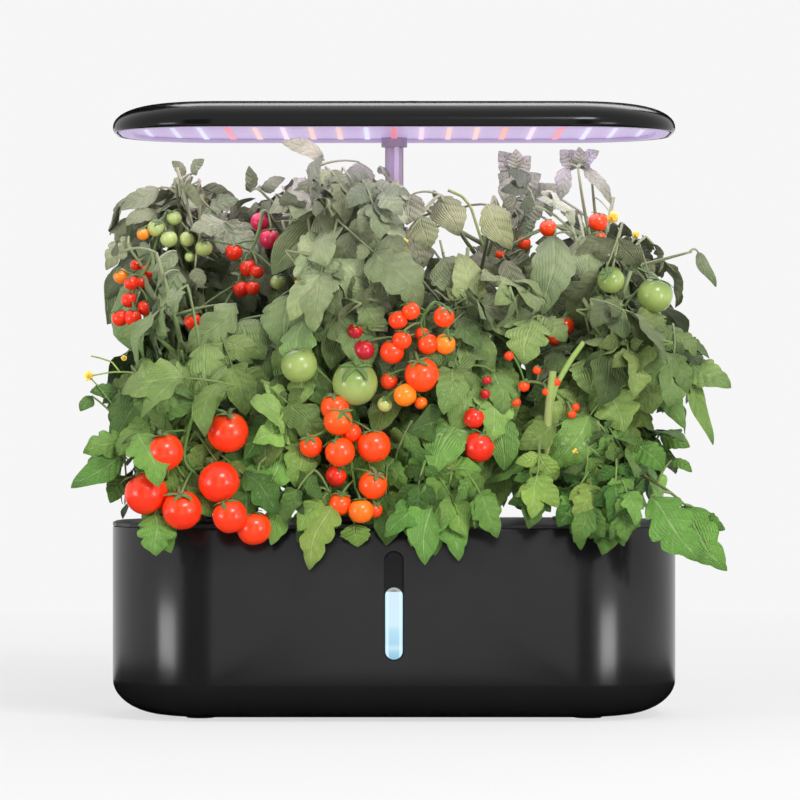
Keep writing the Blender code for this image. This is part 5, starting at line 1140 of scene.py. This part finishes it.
def board(name, size, place, turned, finish):
    """A flat board of the studio."""
    bpy.ops.mesh.primitive_plane_add(size=1, location=place, rotation=turned)
    made = bpy.context.object
    made.name, made.scale = name, (*size, 1)
    made.data.materials.append(finish)
    return made


floor = board("floor", (FLOOR_SIZE, FLOOR_SIZE), (0, 0, 0), (0, 0, 0), floor_finish())
floor.visible_glossy = False
# Dark boards that only glossy rays meet: the tank and hood mirror them, so their fronts look deep black
dark = Finish("dark_board", Base_Color=(0.004, 0.004, 0.004, 1), Roughness=1.0, Specular_IOR_Level=0.0)
UPRIGHT = math.pi / 2
for name, size, place, turned in (
    ("board_left", (1.05, 1.7), (-0.90, -1.75, 0.35), (UPRIGHT, 0, 0)),
    ("board_right", (0.50, 1.7), (0.62, -1.75, 0.35), (UPRIGHT, 0, 0)),
    ("board_under", (1.6, 0.95), (0, 0.02, -0.02), (0, 0, 0)),
    ("board_back", (2.6, 2.2), (0, 2.2, 1.55), (UPRIGHT, 0, 0)),
):
    made = board(name, size, place, turned, dark.material)
    made.visible_camera = made.visible_diffuse = made.visible_transmission = made.visible_shadow = False

world = bpy.data.worlds.new("studio")
bpy.context.scene.world = world
world.use_nodes = True
studio = Nodes(world.node_tree)
sky = studio.tree.nodes["Background"]
studio.feed(sky, {"Color": (0.34, 0.34, 0.35, 1)})
backdrop = studio.node("Background", sockets={"Color": (*PALE, 1)})
lights = {0: studio.seen_rays(), 1: Value(studio.tree, sky.outputs[0]), 2: backdrop}
studio.feed(studio.tree.nodes["World Output"], {"Surface": studio.node("MixShader", sockets=lights)})


def soft_box(name, place, aim, size, power, colour=(1, 1, 1), mirrored=True):
    """A rectangular lamp aimed at a point; glossy surfaces show it only where it is to be mirrored."""
    light = bpy.data.lights.new(name, "AREA")
    light.shape, light.size, light.size_y, light.energy, light.color = "RECTANGLE", *size, power, colour
    made = bpy.data.objects.new(name, light)
    made.location = place
    x, y, z = np.array(aim, float) - np.array(place, float)
    made.rotation_euler = (math.atan2(math.hypot(x, y), -z), 0, math.atan2(y, x) - UPRIGHT)
    made.visible_camera = False
    made.visible_glossy = mirrored
    bpy.context.collection.objects.link(made)


soft_box("strip_left", (-1.66, -1.12, 0.05), (0, 0, 0.05), (0.62, 0.56), 9)
soft_box("strip_right", (1.36, -1.50, 0.05), (0, 0, 0.05), (0.55, 0.56), 9)
soft_box("side_left", (-1.66, -1.12, 0.75), (0, 0, 0.2), (0.62, 0.7), 14, mirrored=False)
soft_box("side_right", (1.36, -1.50, 0.75), (0, 0, 0.2), (0.55, 0.7), 22, mirrored=False)
soft_box("key", (0.8, -2.2, 1.9), (0, 0, 0.22), (0.9, 0.6), 36)
soft_box("back", (0.2, 2.0, 1.8), (0, 0, 0.25), (1.4, 0.8), 10)
for x in (-0.1, 0.1):
    under_panel = (x, -0.01, LAMP_BOTTOM - 2 * MM)
    soft_box("grow_light", under_panel, (x, -0.01, 0), (0.14, 0.15), 0.20, (0.86, 0.74, 1.0))

camera_data = bpy.data.cameras.new("camera")
camera_data.lens = camera_data.sensor_width * FOCAL / PICTURE
camera = bpy.data.objects.new("camera", camera_data)
camera.location = EYE
camera.rotation_euler = (UPRIGHT, 0, 0)
bpy.context.collection.objects.link(camera)
bpy.context.scene.camera = camera
bpy.context.scene.view_settings.view_transform = "Standard"
